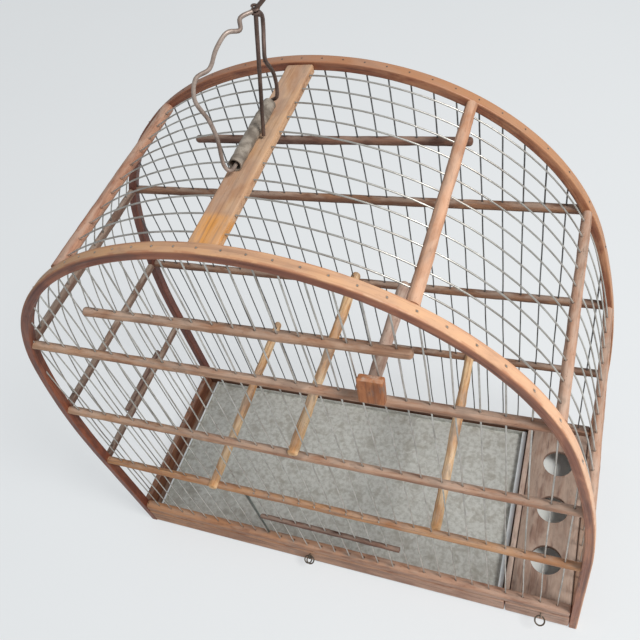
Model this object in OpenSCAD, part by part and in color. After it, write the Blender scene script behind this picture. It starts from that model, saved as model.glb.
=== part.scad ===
// Canary breeding cage: two bent wooden arches joined by round rails and closed by steel wires,
// with a slide-out floor tray, a seed drawer, a lift-up front gate, perches and a wire hanger.
// Millimetres. X is across the front, Y runs from the front wires to the back, Z is up.
// The origin lies in the middle of the space that the cage stands on. The modules are drawn with
// Y = 0 in the plane of the front wires, and module place() brings them to the origin.

/* [Arches] */
// Half of the outside width of the cage
half_width = 231.5; // [218:0.5:243]
// Height at which the straight legs start to bend inwards
spring_height = 152; // [140:1:165]
// Outer radius of the long side curve
side_radius = 643; // [590:1:690]
// Angle that the side curve turns through
side_angle = 14.3; // [13:0.1:16]
// Outer radius of the shoulder curve
shoulder_radius = 206.5; // [202:0.5:211]
// Outside height of the crown
crown_height = 468.6; // [466:0.2:471]
// Thickness of the bent strip
strip_t = 7; // [6:0.5:8]
// Width of the bent strip, front to back
strip_w = 9; // [8.5:0.5:11]
// Distance between the front wires and the back wires
depth = 186.5; // [172:0.5:200]

/* [Wires] */
// Diameter of the cage wires
wire_d = 1.2; // [1:0.1:1.4]
// Spacing of the front and back wires
wire_pitch = 15; // [14.6:0.1:15.2]
// Shift of the front wires from the middle of the cage
front_shift = 2.8; // [-3:0.2:4]
// Shift of the back wires from the middle of the cage
back_shift = 3.3; // [1:0.1:5]
// Number of wires over each side and the roof
side_wires = 11; // [9:1:12]
// How much wider a wire hole is than its wire
hole_play = 0.2; // [0.1:0.05:0.3]

/* [Rails] */
// Diameter of the round rails
rail_d = 8; // [7:0.5:8]
// Height of the lowest rails
low_rail_z = 138.5; // [133:0.5:144]
// Height of the middle rails
mid_rail_z = 236; // [230:0.5:241]
// Height of the highest rails
high_rail_z = 340; // [333:0.5:343]
// Diameter of the left shoulder rail
left_shoulder_d = 10; // [9:0.5:10.5]
// Diameter of the right shoulder rail
right_shoulder_d = 9; // [8:0.5:10]
// Direction of the shoulder rails seen from the shoulder's centre
shoulder_angle = 58; // [55:0.5:60]
// Width of the ridge plank
ridge_w = 19.8; // [18:0.2:28]
// Shift of the ridge plank from the middle of the cage
ridge_shift = 3.2; // [0:0.2:5]
// Thickness of the ridge plank
ridge_t = 6.5; // [6:0.5:7]
// How far the top of the ridge plank lies under the crown
ridge_drop = 1.9; // [1.5:0.1:2]
// Diameter of the two wire spreaders
spreader_d = 7.5; // [6.5:0.5:8]
// Height of the front spreader
front_spreader_z = 394.5; // [389:0.5:399]
// Height of the back spreader
back_spreader_z = 399; // [394:0.5:402]

/* [Base] */
// Height of the base, where the front wires enter it
base_h = 38; // [37:0.5:40]
// Height of the top front rail of the base
front_rail_h = 11.5; // [11:0.5:12]
// Height of the side boards
side_board_h = 34; // [32:0.5:36]
// Thickness of the feeder board
feeder_t = 5; // [4:0.5:5]
// Width of the feeder compartment
feeder_w = 54; // [49:0.5:56]
// Diameter of the three seed holes
seed_hole_d = 28; // [26:0.5:30]
// Thickness of the divider board
divider_t = 5; // [4:0.5:6]
// Thickness of the tray's sheet metal
sheet_t = 0.8; // [0.6:0.1:1]
// Height of the tray floor
tray_floor_z = 17.2; // [16:0.2:18]
// Height of the tray rim over its floor
tray_rim_h = 7; // [6:0.5:8]
// Width of the rolled rim at the right of the tray
tray_roll_w = 4.5; // [4:0.5:5]

/* [Gate] */
// Diameter of the gate bar
gate_bar_d = 6; // [5:0.5:6]
// Height of the left end of the gate bar
gate_left_z = 90; // [84:0.5:92]
// Height of the right end of the gate bar
gate_right_z = 86.6; // [82:0.2:90]
// How far the gate wires stand in front of the fixed wires
gate_offset = 2.2; // [2.1:0.1:2.3]

/* [Perches] */
// Diameter of the fixed perches
perch_d = 10; // [9:0.5:10]
// Diameter of the plug perch's rod
plug_d = 9.8; // [9:0.2:10]
// Length of the plug perch's rod behind its block
plug_length = 95; // [85:1:110]
// Width of the plug perch's block
plug_block_w = 17.3; // [16.5:0.1:18]
// Height of the plug perch's block
plug_block_h = 19.6; // [18.8:0.1:20.6]
// Angle that the block leans back
plug_lean = 12; // [8:0.5:15]
// Length of the block in front of the wires
plug_block_l = 6.6; // [6:0.2:8]
// Length of the block's neck between the wires
plug_neck_l = 4.4; // [4:0.2:5]

/* [Hanger] */
// Diameter of the hanger wire
hanger_d = 2.7; // [2.4:0.1:2.8]
// Outside diameter of the hinge barrel
barrel_d = 9.6; // [9:0.2:10.4]
// Length of the hinge barrel
barrel_l = 62; // [56:1:64]
// Inside diameter of the open hook at the top
hook_d = 18; // [16:0.5:20]

/* [Rings] */
// Wire diameter of the pull rings
ring_wire = 1.5; // [1.3:0.1:1.6]
// Diameter of the drawer ring on its wire's centre line
drawer_ring_d = 8.4; // [8:0.2:9]
// Diameter of the tray rings on their wire's centre line
tray_ring_d = 7.4; // [7:0.2:8]

/* [Hidden] */
$fn = 64;
// every second length of a bent strip or wire is this much slimmer all round, and its ends run
// into its neighbours by lap_l
slim = 0.02;
lap_l = 1.5;
function lap(r) = lap_l / r * 180 / PI;
wr = wire_d / 2;
hr = wr + hole_play / 2;
// how deep the wires' blind holes are, and how deep the wires sit in them
seat_hole = 5;
wire_seat = seat_hole - 0.2;
// half the length of a hole drilled right through a rail, and how far one runs past a strip
drill = 10;
past = 6;
// clearance of what slides, and what a groove or seat gives round a piece
slide_play = 0.1;
// distance of the origin behind the front wires
origin_y = depth / 2;
// how far the wires stop under the outside of the arch
wire_short = 0.6;
rr = rail_d / 2;
half_t = strip_t / 2;
half_w = strip_w / 2;
// centres of the side, shoulder and crown curves on the right half
c1x = half_width - side_radius;
c1z = spring_height;
c2x = c1x + (side_radius - shoulder_radius) * cos(side_angle);
c2z = c1z + (side_radius - shoulder_radius) * sin(side_angle);
crown_d = crown_height - c2z;
crown_radius = (c2x * c2x + crown_d * crown_d - shoulder_radius * shoulder_radius)
    / (2 * (crown_d - shoulder_radius));
c3z = crown_height - crown_radius;
crown_angle = atan2(c2z - c3z, c2x);
tangent_x = crown_radius * cos(crown_angle);
// rails on the centre line of the strip
function side_x(z) = z < c1z ? half_width - half_t
    : z < c2z + (shoulder_radius - half_t) * sin(side_angle)
        ? c1x + sqrt(pow(side_radius - half_t, 2) - pow(z - c1z, 2))
        : c2x + sqrt(pow(shoulder_radius - half_t, 2) - pow(z - c2z, 2));
function side_tilt(z) = z < c1z ? 0
    : z < c2z + (shoulder_radius - half_t) * sin(side_angle)
        ? asin((z - c1z) / (side_radius - half_t))
        : asin((z - c2z) / (shoulder_radius - half_t));
high_angle = asin((high_rail_z - c2z) / (shoulder_radius - half_t));
shoulder_x = c2x + (shoulder_radius - half_t) * cos(shoulder_angle);
shoulder_z = c2z + (shoulder_radius - half_t) * sin(shoulder_angle);
// height of the strip at x, at the depth t under its outside
function strip_z(x, t) = let(a = abs(x))
    a < (crown_radius - t) * cos(crown_angle) ? c3z + sqrt(pow(crown_radius - t, 2) - a * a)
    : a < c2x + (shoulder_radius - t) * cos(side_angle)
        ? c2z + sqrt(pow(shoulder_radius - t, 2) - pow(a - c2x, 2))
        : c1z + sqrt(pow(side_radius - t, 2) - pow(a - c1x, 2));
function strip_in(x) = strip_z(abs(x) + hr, strip_t);
inner_x = half_width - strip_t;
// ends and radius of the small spreader on the left side
side_spreader_y = [57, 131];
side_spreader_r = 3;
// ends of the front and back spreaders
front_spreader_x = [-111.5, 113.5];
back_spreader_x = [-103.5, 114.5];
// wire positions: the outermost wire on each side keeps edge_gap from the strip
edge_gap = 9;
front_n = floor((inner_x - edge_gap - max(abs(front_shift), abs(back_shift))) / wire_pitch);
function fx(i) = front_shift + wire_pitch * i;
function bx(i) = back_shift + wire_pitch * i;
loop_pitch = depth / (side_wires + 1);
function ly(k) = loop_pitch * k;
loops = [1 : side_wires];
ridge_top = crown_height - ridge_drop;
ridge_z = ridge_top - ridge_t;
function ridge_edge(s) = ridge_w / 2 + s * ridge_shift;
// base
front_y = -half_w;
fascia_top = base_h - front_rail_h - 0.8;
divider_x = inner_x - feeder_w - divider_t;
tray_left = -inner_x + 10;
tray_right = divider_x - 1.5;
back_y = depth - half_w;
drawer_left = divider_x + divider_t + 1;
drawer_right = inner_x - 1;
drawer_t = 1;
seed_y = [42, 94, 145];
seed_x = divider_x + divider_t + feeder_w / 2 + 1;
seed_edge_play = 0.8;
fascia_t = 8;
fascia_play = 0.35;
fascia_gap = 2;
board_lift = 1;
runner_h = 4;
tray_runner_w = 8;
drawer_runner_w = 5;
drawer_runner_h = 3;
drawer_z = board_lift + drawer_runner_h + slide_play;
// gate
gate_first = -4;
gate_last = 4;
post_x = fx(gate_first - 1);
post_w = 4.6;
post_t = 0.9;
bar_x0 = fx(gate_first) - 5;
bar_x1 = fx(gate_last) + 12;
bar_tilt = atan2(gate_left_z - gate_right_z, bar_x1 - bar_x0);
function bar_z(x) = gate_left_z - (x - bar_x0) * tan(bar_tilt);
gate_top = low_rail_z + rr + 1;
// perches
pr = perch_d / 2;
perch_rise = 3.5;
// how far a slit runs past the end of a perch, and its clearance round the wire
slit_l = 20;
slit_play = 0.1;
plug_r = plug_d / 2;
plug_x = fx(5) + wr + 0.3;
plug_z = high_rail_z + rr + 0.3;
plug_rise = 10.5;
plug_neck_h = plug_rise + plug_r + 1.6;
plug_root = [fx(5) + 9.1, plug_neck_l - 1, plug_z + plug_rise];
plug_run = [-3, 90, -12];
// how far the neck reaches in front of the wires, inside the block
neck_in = 6;
// how far the block stands to the right of its neck and above it
block_shift = 1.8;
block_over = 7.8;
// how far the rod goes into its block
plug_in = 6;
// hanger: points of its wires, measured from the front end of the hinge barrel
hw = hanger_d / 2;
bar_x = 0.5;
barrel_z = ridge_top + barrel_d / 2;
barrel_y = 67;
stem_start = [barrel_d / 2 + hw + 0.35, 32, hw + 1.2 - barrel_d / 2];
knot = [24, 33, 78];
knot_r = hw + 1.1;
function short_of_knot(p) = knot - (knot_r + 0.15) * (knot - p) / norm(knot - p);
front_end = [17.5, 26, 77.5];
back_end = [21.5, 43, 69.5];
bail_front = [[0, 31, 0], [0, -4.5, 0], [-3, -6.5, 5.5], [-2, -5, 22], [-3, -5, 35.5], [-5, -8, 50.5],
    [-3, -3, 60.5], [3, 4, 62], [7, 10, 69.5], [12, 17, 74.5], [17, 23, 72.5], front_end,
    short_of_knot(front_end)];
bail_back = [[0, 31, 0], [0, 64.5, 0], [5, 65, 3], [7, 65, 11], [9, 62, 20], [13, 53, 30.5],
    [17.5, 40.5, 43], [19, 39, 50], [19, 46, 61.5], back_end, short_of_knot(back_end)];
hook_r = hook_d / 2 + hw;
// rings
rw = ring_wire / 2;
staple_w = 0.6;
staple_z = 19;
staple_out = 2.2;
tray_staple_h = 2 * rw + staple_w + 0.3;
drawer_staple_h = rw + staple_w + 0.35;
tray_ring_x = -27;
drawer_ring_x = divider_x + divider_t + feeder_w / 2 + 2;
ring_tilt = 68;
// how far the two tray rings are turned apart
ring_turn = 24;

// brings a piece drawn from the front wires to the origin in the middle of the cage
module place() translate([0, -origin_y, 0]) children();

// a cylinder that lies along X or Y
module along_x(x0, x1, r) { translate([x0, 0, 0]) rotate([0, 90, 0]) cylinder(r = r, h = x1 - x0); }
module along_y(y0, y1, r) { translate([0, y1, 0]) rotate([90, 0, 0]) cylinder(r = r, h = y1 - y0); }

// part of a ring in an XZ plane, its section given as a 2D child
module arc_xz(x, z, r, a0, a1) {
    translate([x, 0, z]) rotate([90, 0, 0]) rotate([0, 0, a0])
        rotate_extrude(angle = a1 - a0, $fn = 360) translate([r, 0]) children();
}

module strip_section(t0, t1, w) { translate([-t1, -w / 2]) square([t1 - t0, w]); }

// leg and curves of the right half of the bent strip, between the depths t0 and t1
module half_strip(t0, t1, w) {
    translate([half_width - t1, -w / 2, 0]) cube([t1 - t0, w, spring_height]);
    arc_xz(c1x, c1z, side_radius, -lap(side_radius), side_angle + lap(side_radius))
        strip_section(t0 + slim, t1 - slim, w - 2 * slim);
    arc_xz(c2x, c2z, shoulder_radius, side_angle, crown_angle) strip_section(t0, t1, w);
}

module strip(t0, t1, w) {
    half_strip(t0, t1, w);
    rotate([0, 0, 180]) half_strip(t0, t1, w);
    arc_xz(0, c3z, crown_radius, crown_angle - lap(crown_radius), 180 - crown_angle + lap(crown_radius))
        strip_section(t0 + slim, t1 - slim, w - 2 * slim);
}

module wire_holes(n0, n1, shift) {
    for (i = [n0 : n1]) let(x = shift + wire_pitch * i)
        translate([x, 0, strip_in(x) - past])
            cylinder(r = hr, h = strip_z(x, 0) - strip_in(x) + 2 * past, $fn = 24);
}

module front_arch() color([0.72, 0.42, 0.24]) difference() {
    strip(0, strip_t, strip_w);
    wire_holes(-front_n, front_n, front_shift);
}

module back_arch() color([0.72, 0.42, 0.24]) translate([0, depth, 0]) difference() {
    strip(0, strip_t, strip_w);
    wire_holes(-front_n, front_n, back_shift);
}

// rail between the legs of an arch, trimmed to the inside of the strip
module cross_rail(z, shift) difference() {
    translate([0, 0, z]) along_x(-side_x(z), side_x(z), rr);
    strip(-20, strip_t + 0.1, strip_w + 4);
    for (i = [-front_n : front_n])
        translate([shift + wire_pitch * i, 0, z - drill]) cylinder(r = hr, h = 2 * drill, $fn = 24);
}

module front_rail_low() color([0.66, 0.42, 0.27]) difference() {
    cross_rail(low_rail_z, front_shift);
    for (i = [gate_first : gate_last])
        translate([fx(i), -gate_offset, low_rail_z - drill]) cylinder(r = hr, h = 2 * drill, $fn = 24);
}
module front_rail_mid() color([0.66, 0.42, 0.27]) cross_rail(mid_rail_z, front_shift);
module front_rail_high() color([0.6, 0.42, 0.3]) cross_rail(high_rail_z, front_shift);
module back_rail_low() color([0.6, 0.38, 0.25]) translate([0, depth, 0]) cross_rail(low_rail_z, back_shift);
module back_rail_mid() color([0.6, 0.38, 0.25]) translate([0, depth, 0]) cross_rail(mid_rail_z, back_shift);
module back_rail_high() color([0.6, 0.38, 0.25]) translate([0, depth, 0]) cross_rail(high_rail_z, back_shift);

// rail from arch to arch at x, z, drilled for wires that run at the angle tilt
module depth_rail(x, z, r, tilt) difference() {
    translate([x, 0, z]) along_y(half_w, depth - half_w, r);
    for (k = loops)
        translate([x, ly(k), z]) rotate([0, -tilt, 0]) translate([0, 0, -drill])
            cylinder(r = hr + 0.03, h = 2 * drill, $fn = 24);
}
module right_rail(z) depth_rail(side_x(z), z, rr, side_tilt(z));
module left_rail(z) mirror([1, 0, 0]) right_rail(z);
module left_rail_low() color([0.6, 0.4, 0.28]) left_rail(low_rail_z);
module left_rail_mid() color([0.6, 0.4, 0.28]) left_rail(mid_rail_z);
module left_rail_high() color([0.6, 0.4, 0.28]) left_rail(high_rail_z);
module right_rail_low() color([0.68, 0.46, 0.36]) right_rail(low_rail_z);
module right_rail_mid() color([0.68, 0.46, 0.36]) right_rail(mid_rail_z);
module right_rail_high() color([0.68, 0.46, 0.36]) right_rail(high_rail_z);
module left_shoulder_rail() color([0.6, 0.44, 0.33]) mirror([1, 0, 0])
    depth_rail(shoulder_x, shoulder_z, left_shoulder_d / 2, shoulder_angle);
module right_shoulder_rail() color([0.72, 0.5, 0.36])
    depth_rail(shoulder_x, shoulder_z, right_shoulder_d / 2, shoulder_angle);

module ridge_plank() color([0.8, 0.55, 0.34]) difference() {
    translate([-ridge_edge(-1), half_w, ridge_z]) cube([ridge_w, depth - strip_w, ridge_t]);
    for (s = [-1, 1], k = loops)
        translate([s * (ridge_edge(s) + 1), ly(k), strip_z(ridge_edge(s), half_t)])
            rotate([0, -s * 90, 0]) cylinder(r = hr + 0.12, h = 5, $fn = 24);
}

// rod with round ends, threaded on the front or back wires
module spreader(ends, z, shift, r) difference() {
    translate([0, 0, z]) {
        along_x(ends[0], ends[1], r);
        for (x = ends) translate([x, 0, 0]) sphere(r = r);
    }
    for (i = [-front_n : front_n]) let(x = shift + wire_pitch * i)
        if (x > ends[0] - r - 1 && x < ends[1] + r + 1)
            translate([x, 0, z - drill]) cylinder(r = hr, h = 2 * drill, $fn = 24);
}
module front_spreader() color([0.6, 0.42, 0.3])
    spreader(front_spreader_x, front_spreader_z, front_shift, spreader_d / 2);
module back_spreader() color([0.5, 0.3, 0.2]) translate([0, depth, 0])
    spreader(back_spreader_x, back_spreader_z, back_shift, spreader_d / 2);
module side_spreader() color([0.3, 0.2, 0.15]) difference() {
    translate([-side_x(low_rail_z), 0, low_rail_z + rr + side_spreader_r + 2]) {
        along_y(side_spreader_y[0], side_spreader_y[1], side_spreader_r);
        for (y = side_spreader_y) translate([0, y, 0]) sphere(r = side_spreader_r);
    }
    for (k = loops)
        translate([-side_x(low_rail_z), ly(k), low_rail_z]) cylinder(r = hr, h = 2 * drill, $fn = 24);
}

// base
module rail_profile() {
    translate([-half_w, 0]) square([strip_w, front_rail_h - 3]);
    translate([-half_w + 3, front_rail_h - 4]) square([strip_w - 3, 4]);
    translate([-half_w + 3, front_rail_h - 3]) circle(r = 3);
}
module base_front_rail() color([0.68, 0.42, 0.26]) difference() {
    translate([-inner_x, 0, base_h - front_rail_h]) rotate([90, 0, 90])
        linear_extrude(2 * inner_x) rail_profile();
    for (i = [-front_n : front_n]) if (i < gate_first || i > gate_last)
        translate([fx(i), 0, base_h - seat_hole]) cylinder(r = hr, h = 2 * seat_hole, $fn = 24);
    for (i = [gate_first : gate_last])
        translate([fx(i), -gate_offset, base_h - seat_hole]) cylinder(r = hr, h = 2 * seat_hole, $fn = 24);
}
module base_back_board() color([0.55, 0.34, 0.22]) difference() {
    translate([-inner_x, depth - half_w, 0]) cube([2 * inner_x, strip_w, base_h]);
    for (i = [-front_n : front_n])
        translate([bx(i), depth, base_h - seat_hole]) cylinder(r = hr, h = 2 * seat_hole, $fn = 24);
}
module side_board(s) difference() {
    translate([s > 0 ? inner_x : -half_width, half_w, 0])
        cube([strip_t, depth - strip_w, side_board_h]);
    for (k = loops)
        translate([s * (half_width - half_t), ly(k), side_board_h - seat_hole])
            cylinder(r = hr, h = 2 * seat_hole, $fn = 24);
}
module base_left_board() color([0.45, 0.25, 0.17]) side_board(-1);
module base_right_board() color([0.62, 0.42, 0.33]) side_board(1);
// battens that the tray and the drawer slide on
module runners() color([0.5, 0.33, 0.22]) {
    for (run = [[-inner_x, 2 * tray_runner_w], [divider_x - tray_runner_w, tray_runner_w]])
        translate([run[0], half_w, tray_floor_z - slide_play - runner_h])
            cube([run[1], depth - strip_w, runner_h]);
    for (x = [divider_x + divider_t, inner_x - drawer_runner_w])
        translate([x, half_w, board_lift]) cube([drawer_runner_w, depth - strip_w, drawer_runner_h]);
}
module divider_board() color([0.62, 0.42, 0.32])
    translate([divider_x, half_w, board_lift]) cube([divider_t, depth - strip_w, fascia_top + 5]);
module feeder_board() color([0.5, 0.33, 0.23]) difference() {
    translate([divider_x + divider_t + seed_edge_play, half_w, base_h - front_rail_h])
        cube([feeder_w - seed_edge_play, depth - strip_w, feeder_t]);
    for (y = seed_y) translate([seed_x, y, 0]) cylinder(d = seed_hole_d, h = base_h, $fn = 96);
}
module gate_post() color([0.55, 0.58, 0.55])
    translate([post_x - post_w / 2, wr + 0.3, base_h])
        cube([post_w, post_t, low_rail_z - rr - base_h + 0.2]);

// wires
module front_wires(n0, n1, z0) color([0.45, 0.45, 0.44])
    for (i = [n0 : n1]) translate([fx(i), 0, z0])
        cylinder(r = wr, h = strip_z(fx(i), 0) - wire_short - z0, $fn = 24);
module front_wires_left() front_wires(-front_n, gate_first - 1, base_h - wire_seat);
module front_wires_middle() front_wires(gate_first, gate_last, low_rail_z - rr);
module front_wires_right() front_wires(gate_last + 1, front_n, base_h - wire_seat);
module back_wires() color([0.4, 0.4, 0.39])
    for (i = [-front_n : front_n]) translate([bx(i), depth, base_h - wire_seat])
        cylinder(r = wr, h = strip_z(bx(i), 0) - wire_short - base_h + wire_seat, $fn = 24);

module wire_section(r) circle(r = r, $fn = 24);
// turned half round about the middle of the cage, which sets the left hoops opposite the right ones
module half_turn() translate([0, depth, 0]) rotate([0, 0, 180]) children();
module side_loops() color([0.45, 0.45, 0.44]) for (k = loops) translate([0, ly(k), 0]) {
    translate([half_width - half_t, 0, side_board_h - wire_seat])
        cylinder(r = wr, h = spring_height - side_board_h + wire_seat, $fn = 24);
    arc_xz(c1x, c1z, side_radius - half_t, -lap(side_radius), side_angle + lap(side_radius))
        wire_section(wr - slim);
    arc_xz(c2x, c2z, shoulder_radius - half_t, side_angle, high_angle) wire_section(wr);
}
module shoulder_loops() color([0.45, 0.45, 0.44]) for (k = loops) translate([0, ly(k), 0])
    arc_xz(c2x, c2z, shoulder_radius - half_t, high_angle, crown_angle) wire_section(wr);
module roof_loops(edge) color([0.45, 0.45, 0.44]) for (k = loops) translate([0, ly(k), 0])
    arc_xz(0, c3z, crown_radius - half_t, crown_angle, acos((edge - 3) / (crown_radius - half_t)))
        wire_section(wr);
module right_side_wires() side_loops();
module left_side_wires() half_turn() side_loops();
module right_shoulder_wires() shoulder_loops();
module left_shoulder_wires() half_turn() shoulder_loops();
module right_roof_wires() roof_loops(ridge_edge(1));
module left_roof_wires() half_turn() roof_loops(ridge_edge(-1));

// perch that lies on two rails, from [x, y] to [x, y], with a slit for the wire at each end
module perch(p0, p1, rail_z, slit0, slit1, knob) difference() {
    translate([p0[0], p0[1], rail_z + perch_rise])
        rotate([0, 0, -atan2(p1[0] - p0[0], p1[1] - p0[1])]) {
            along_y(0, norm(p1 - p0), pr);
            if (knob) translate([0, norm(p1 - p0), 0]) sphere(r = pr);
        }
    translate([0, 0, rail_z]) along_x(-inner_x, inner_x, rr + 0.05);
    translate([0, depth, rail_z]) along_x(-inner_x, inner_x, rr + 0.05);
    if (slit0) translate([slit0 - hr - slit_play, -slit_l, 0])
        cube([2 * (hr + slit_play), slit_l + wr + 0.3, crown_height]);
    if (slit1) translate([slit1 - hr - slit_play, depth - wr - 0.3, 0])
        cube([2 * (hr + slit_play), slit_l + wr + 0.3, crown_height]);
}
module perch_left() color([0.75, 0.52, 0.32])
    perch([fx(-7) + 2, -6], [bx(-7) - 2, depth + 11], low_rail_z, fx(-7), bx(-7), true);
module perch_middle() color([0.72, 0.52, 0.36])
    perch([fx(0) + 2.2, -2.5], [bx(0) + 0.4, depth + 8], mid_rail_z, fx(0), bx(0), true);
module perch_right() color([0.75, 0.55, 0.36])
    perch([fx(7) + 2.6, 2], [bx(7) - 1.4, depth + 2], low_rail_z, false, bx(7), false);

// floor tray
module tray_pan() color([0.62, 0.63, 0.6]) {
    difference() {
        translate([tray_left, half_w - 1, tray_floor_z])
            cube([tray_right - tray_left, back_y - 1 - half_w, tray_rim_h]);
        translate([tray_left + sheet_t, half_w - 1 + sheet_t, tray_floor_z + sheet_t])
            cube([tray_right - tray_left - 2 * sheet_t, back_y - 1 - half_w - 2 * sheet_t, tray_rim_h]);
    }
    translate([tray_right - tray_roll_w, half_w - 1, tray_floor_z + tray_rim_h - 1.6])
        cube([tray_roll_w, back_y - 1 - half_w, 1.6]);
}
module tray_front() color([0.68, 0.44, 0.28]) difference() {
    translate([-inner_x + fascia_play, front_y, fascia_gap])
        cube([divider_x + 2 + inner_x - 2 * fascia_play, fascia_t, fascia_top - fascia_gap]);
    staple_holes(tray_ring_x, tray_staple_h);
}
// staple that holds a ring, in a vertical plane across the front, h from its middle to its leg
module staple(x, h) translate([x, front_y, staple_z]) {
    for (s = [-1, 1]) translate([0, 0, s * h]) along_y(-staple_out, 3, staple_w);
    translate([0, -staple_out, 0]) rotate([0, 90, 0]) rotate([0, 0, 180])
        rotate_extrude(angle = 180, $fn = 64) translate([h, 0]) circle(r = staple_w, $fn = 24);
}
module staple_holes(x, h) translate([x, front_y, staple_z])
    for (s = [-1, 1]) translate([0, 0, s * h]) along_y(-1, 3.2, staple_w + 0.05);
// ring of diameter d tilted out by ring_tilt, lifted off its pivot by lift and turned sideways by turn
module ring(x, d, lift, turn) translate([x, front_y - staple_out, staple_z]) rotate([-ring_tilt, 0, 0])
    translate([0, lift, 0]) rotate([0, turn, 0]) translate([0, 0, -d / 2]) rotate([90, 0, 0])
        rotate_extrude($fn = 64) translate([d / 2, 0]) circle(r = rw, $fn = 24);
module tray_staple() color([0.35, 0.33, 0.3]) staple(tray_ring_x, tray_staple_h);
module tray_ring_left() color([0.4, 0.36, 0.3]) ring(tray_ring_x, tray_ring_d, rw + 0.08, ring_turn);
module tray_ring_right() color([0.4, 0.36, 0.3]) ring(tray_ring_x, tray_ring_d, -rw - 0.08, -ring_turn);

// seed drawer
module drawer_pan() color([0.78, 0.8, 0.78]) difference() {
    translate([drawer_left, half_w - 1, drawer_z])
        cube([drawer_right - drawer_left, back_y - 1 - half_w, fascia_top - 5]);
    translate([drawer_left + drawer_t, half_w - 1 + drawer_t, drawer_z + drawer_t])
        cube([drawer_right - drawer_left - 2 * drawer_t, back_y - 1 - half_w - 2 * drawer_t, fascia_top]);
}
module drawer_front() color([0.6, 0.38, 0.3]) difference() {
    translate([divider_x + 2 + fascia_play, front_y, fascia_gap])
        cube([inner_x - divider_x - 2 - 2 * fascia_play, fascia_t, fascia_top - fascia_gap]);
    staple_holes(drawer_ring_x, drawer_staple_h);
}
module drawer_staple() color([0.35, 0.33, 0.3]) staple(drawer_ring_x, drawer_staple_h);
module drawer_ring() color([0.3, 0.25, 0.18]) ring(drawer_ring_x, drawer_ring_d, 0, 0);

// lift-up gate
module gate_bar() color([0.5, 0.36, 0.34]) difference() {
    translate([bar_x0, -gate_offset, gate_left_z]) rotate([0, bar_tilt, 0]) {
        along_x(0, (bar_x1 - bar_x0) / cos(bar_tilt), gate_bar_d / 2);
        sphere(r = gate_bar_d / 2);
    }
    for (i = [gate_first : gate_last])
        translate([fx(i), -gate_offset, 0]) cylinder(r = wr + 0.04, h = gate_top, $fn = 24);
}
module gate_wires() color([0.5, 0.5, 0.48])
    for (i = [gate_first : gate_last]) translate([fx(i), -gate_offset, base_h - 3])
        cylinder(r = wr, h = gate_top - base_h + 3, $fn = 24);

// plug perch pushed in between the front wires, its rod sloping down to the back
module at_plug() translate(plug_root)
    rotate([0, acos(plug_run[2] / norm(plug_run)), atan2(plug_run[1], plug_run[0])]) children();
// half outline of the rod, with its worn round end
module plug_perch_rod() color([0.62, 0.5, 0.4]) at_plug() rotate_extrude()
    polygon([[0, -plug_in], [plug_r, -plug_in], [plug_r, plug_length - 4], [plug_r - 1.2, plug_length - 1.5],
        [plug_r - 3.4, plug_length], [0, plug_length]]);
module plug_perch_block() color([0.72, 0.45, 0.32]) difference() {
    union() {
        translate([plug_x + block_shift, -wr - 0.3, plug_z + plug_neck_h + block_over])
            rotate([-plug_lean, 0, 0]) translate([0, -plug_block_l, -plug_block_h])
                cube([plug_block_w, plug_block_l, plug_block_h]);
        translate([plug_x, -neck_in, plug_z])
            cube([wire_pitch - wire_d - 0.6, neck_in + plug_neck_l - 0.9, plug_neck_h]);
    }
    at_plug() translate([0, 0, -plug_in]) cylinder(r = plug_r + 0.01, h = plug_length);
}

// hinge barrel and hanger
module at_barrel() translate([bar_x, barrel_y, barrel_z]) children();
module hanger_barrel() color([0.45, 0.45, 0.42]) at_barrel() difference() {
    along_y(0, barrel_l, barrel_d / 2);
    along_y(-1, barrel_l - 1.5, barrel_d / 2 - 0.9);
    along_y(0, barrel_l + 1, hw + 0.1);
}
// wire of straight lengths through a list of points
module wire_run(points, r) for (i = [0 : len(points) - 2])
    let(v = points[i + 1] - points[i], e0 = i > 0 ? 0.45 * r : 0, e1 = i < len(points) - 2 ? 0.45 * r : 0)
        translate(points[i]) rotate([0, acos(v[2] / norm(v)), atan2(v[1], v[0])])
            translate([0, 0, -e0]) cylinder(r = r, h = norm(v) + e0 + e1, $fn = 12);
module hanger_bail_front() color([0.5, 0.4, 0.35]) at_barrel() wire_run(bail_front, hw);
module hanger_bail_back() color([0.5, 0.4, 0.35]) at_barrel() wire_run(bail_back, hw);
module hanger_stem() color([0.4, 0.3, 0.27]) at_barrel() {
    stem = knot - stem_start;
    translate(stem_start) rotate([0, acos(stem[2] / norm(stem)), atan2(stem[1], stem[0])])
        cylinder(r = hw, h = norm(stem), $fn = 32);
    translate(knot) sphere(r = knot_r);
    translate(knot) rotate([0, 50, 0]) cylinder(r = hw, h = 12, $fn = 32);
    translate(knot + [12 * sin(50), 0, 12 * cos(50)]) sphere(r = hw + 0.05);
    translate(knot + [12 * sin(50) - hook_r * cos(50), 0, 12 * cos(50) + hook_r * sin(50)])
        rotate([90, 0, 0]) rotate([0, 0, -50]) rotate_extrude(angle = 215, $fn = 96)
            translate([hook_r, 0]) circle(r = hw, $fn = 32);
}

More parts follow.
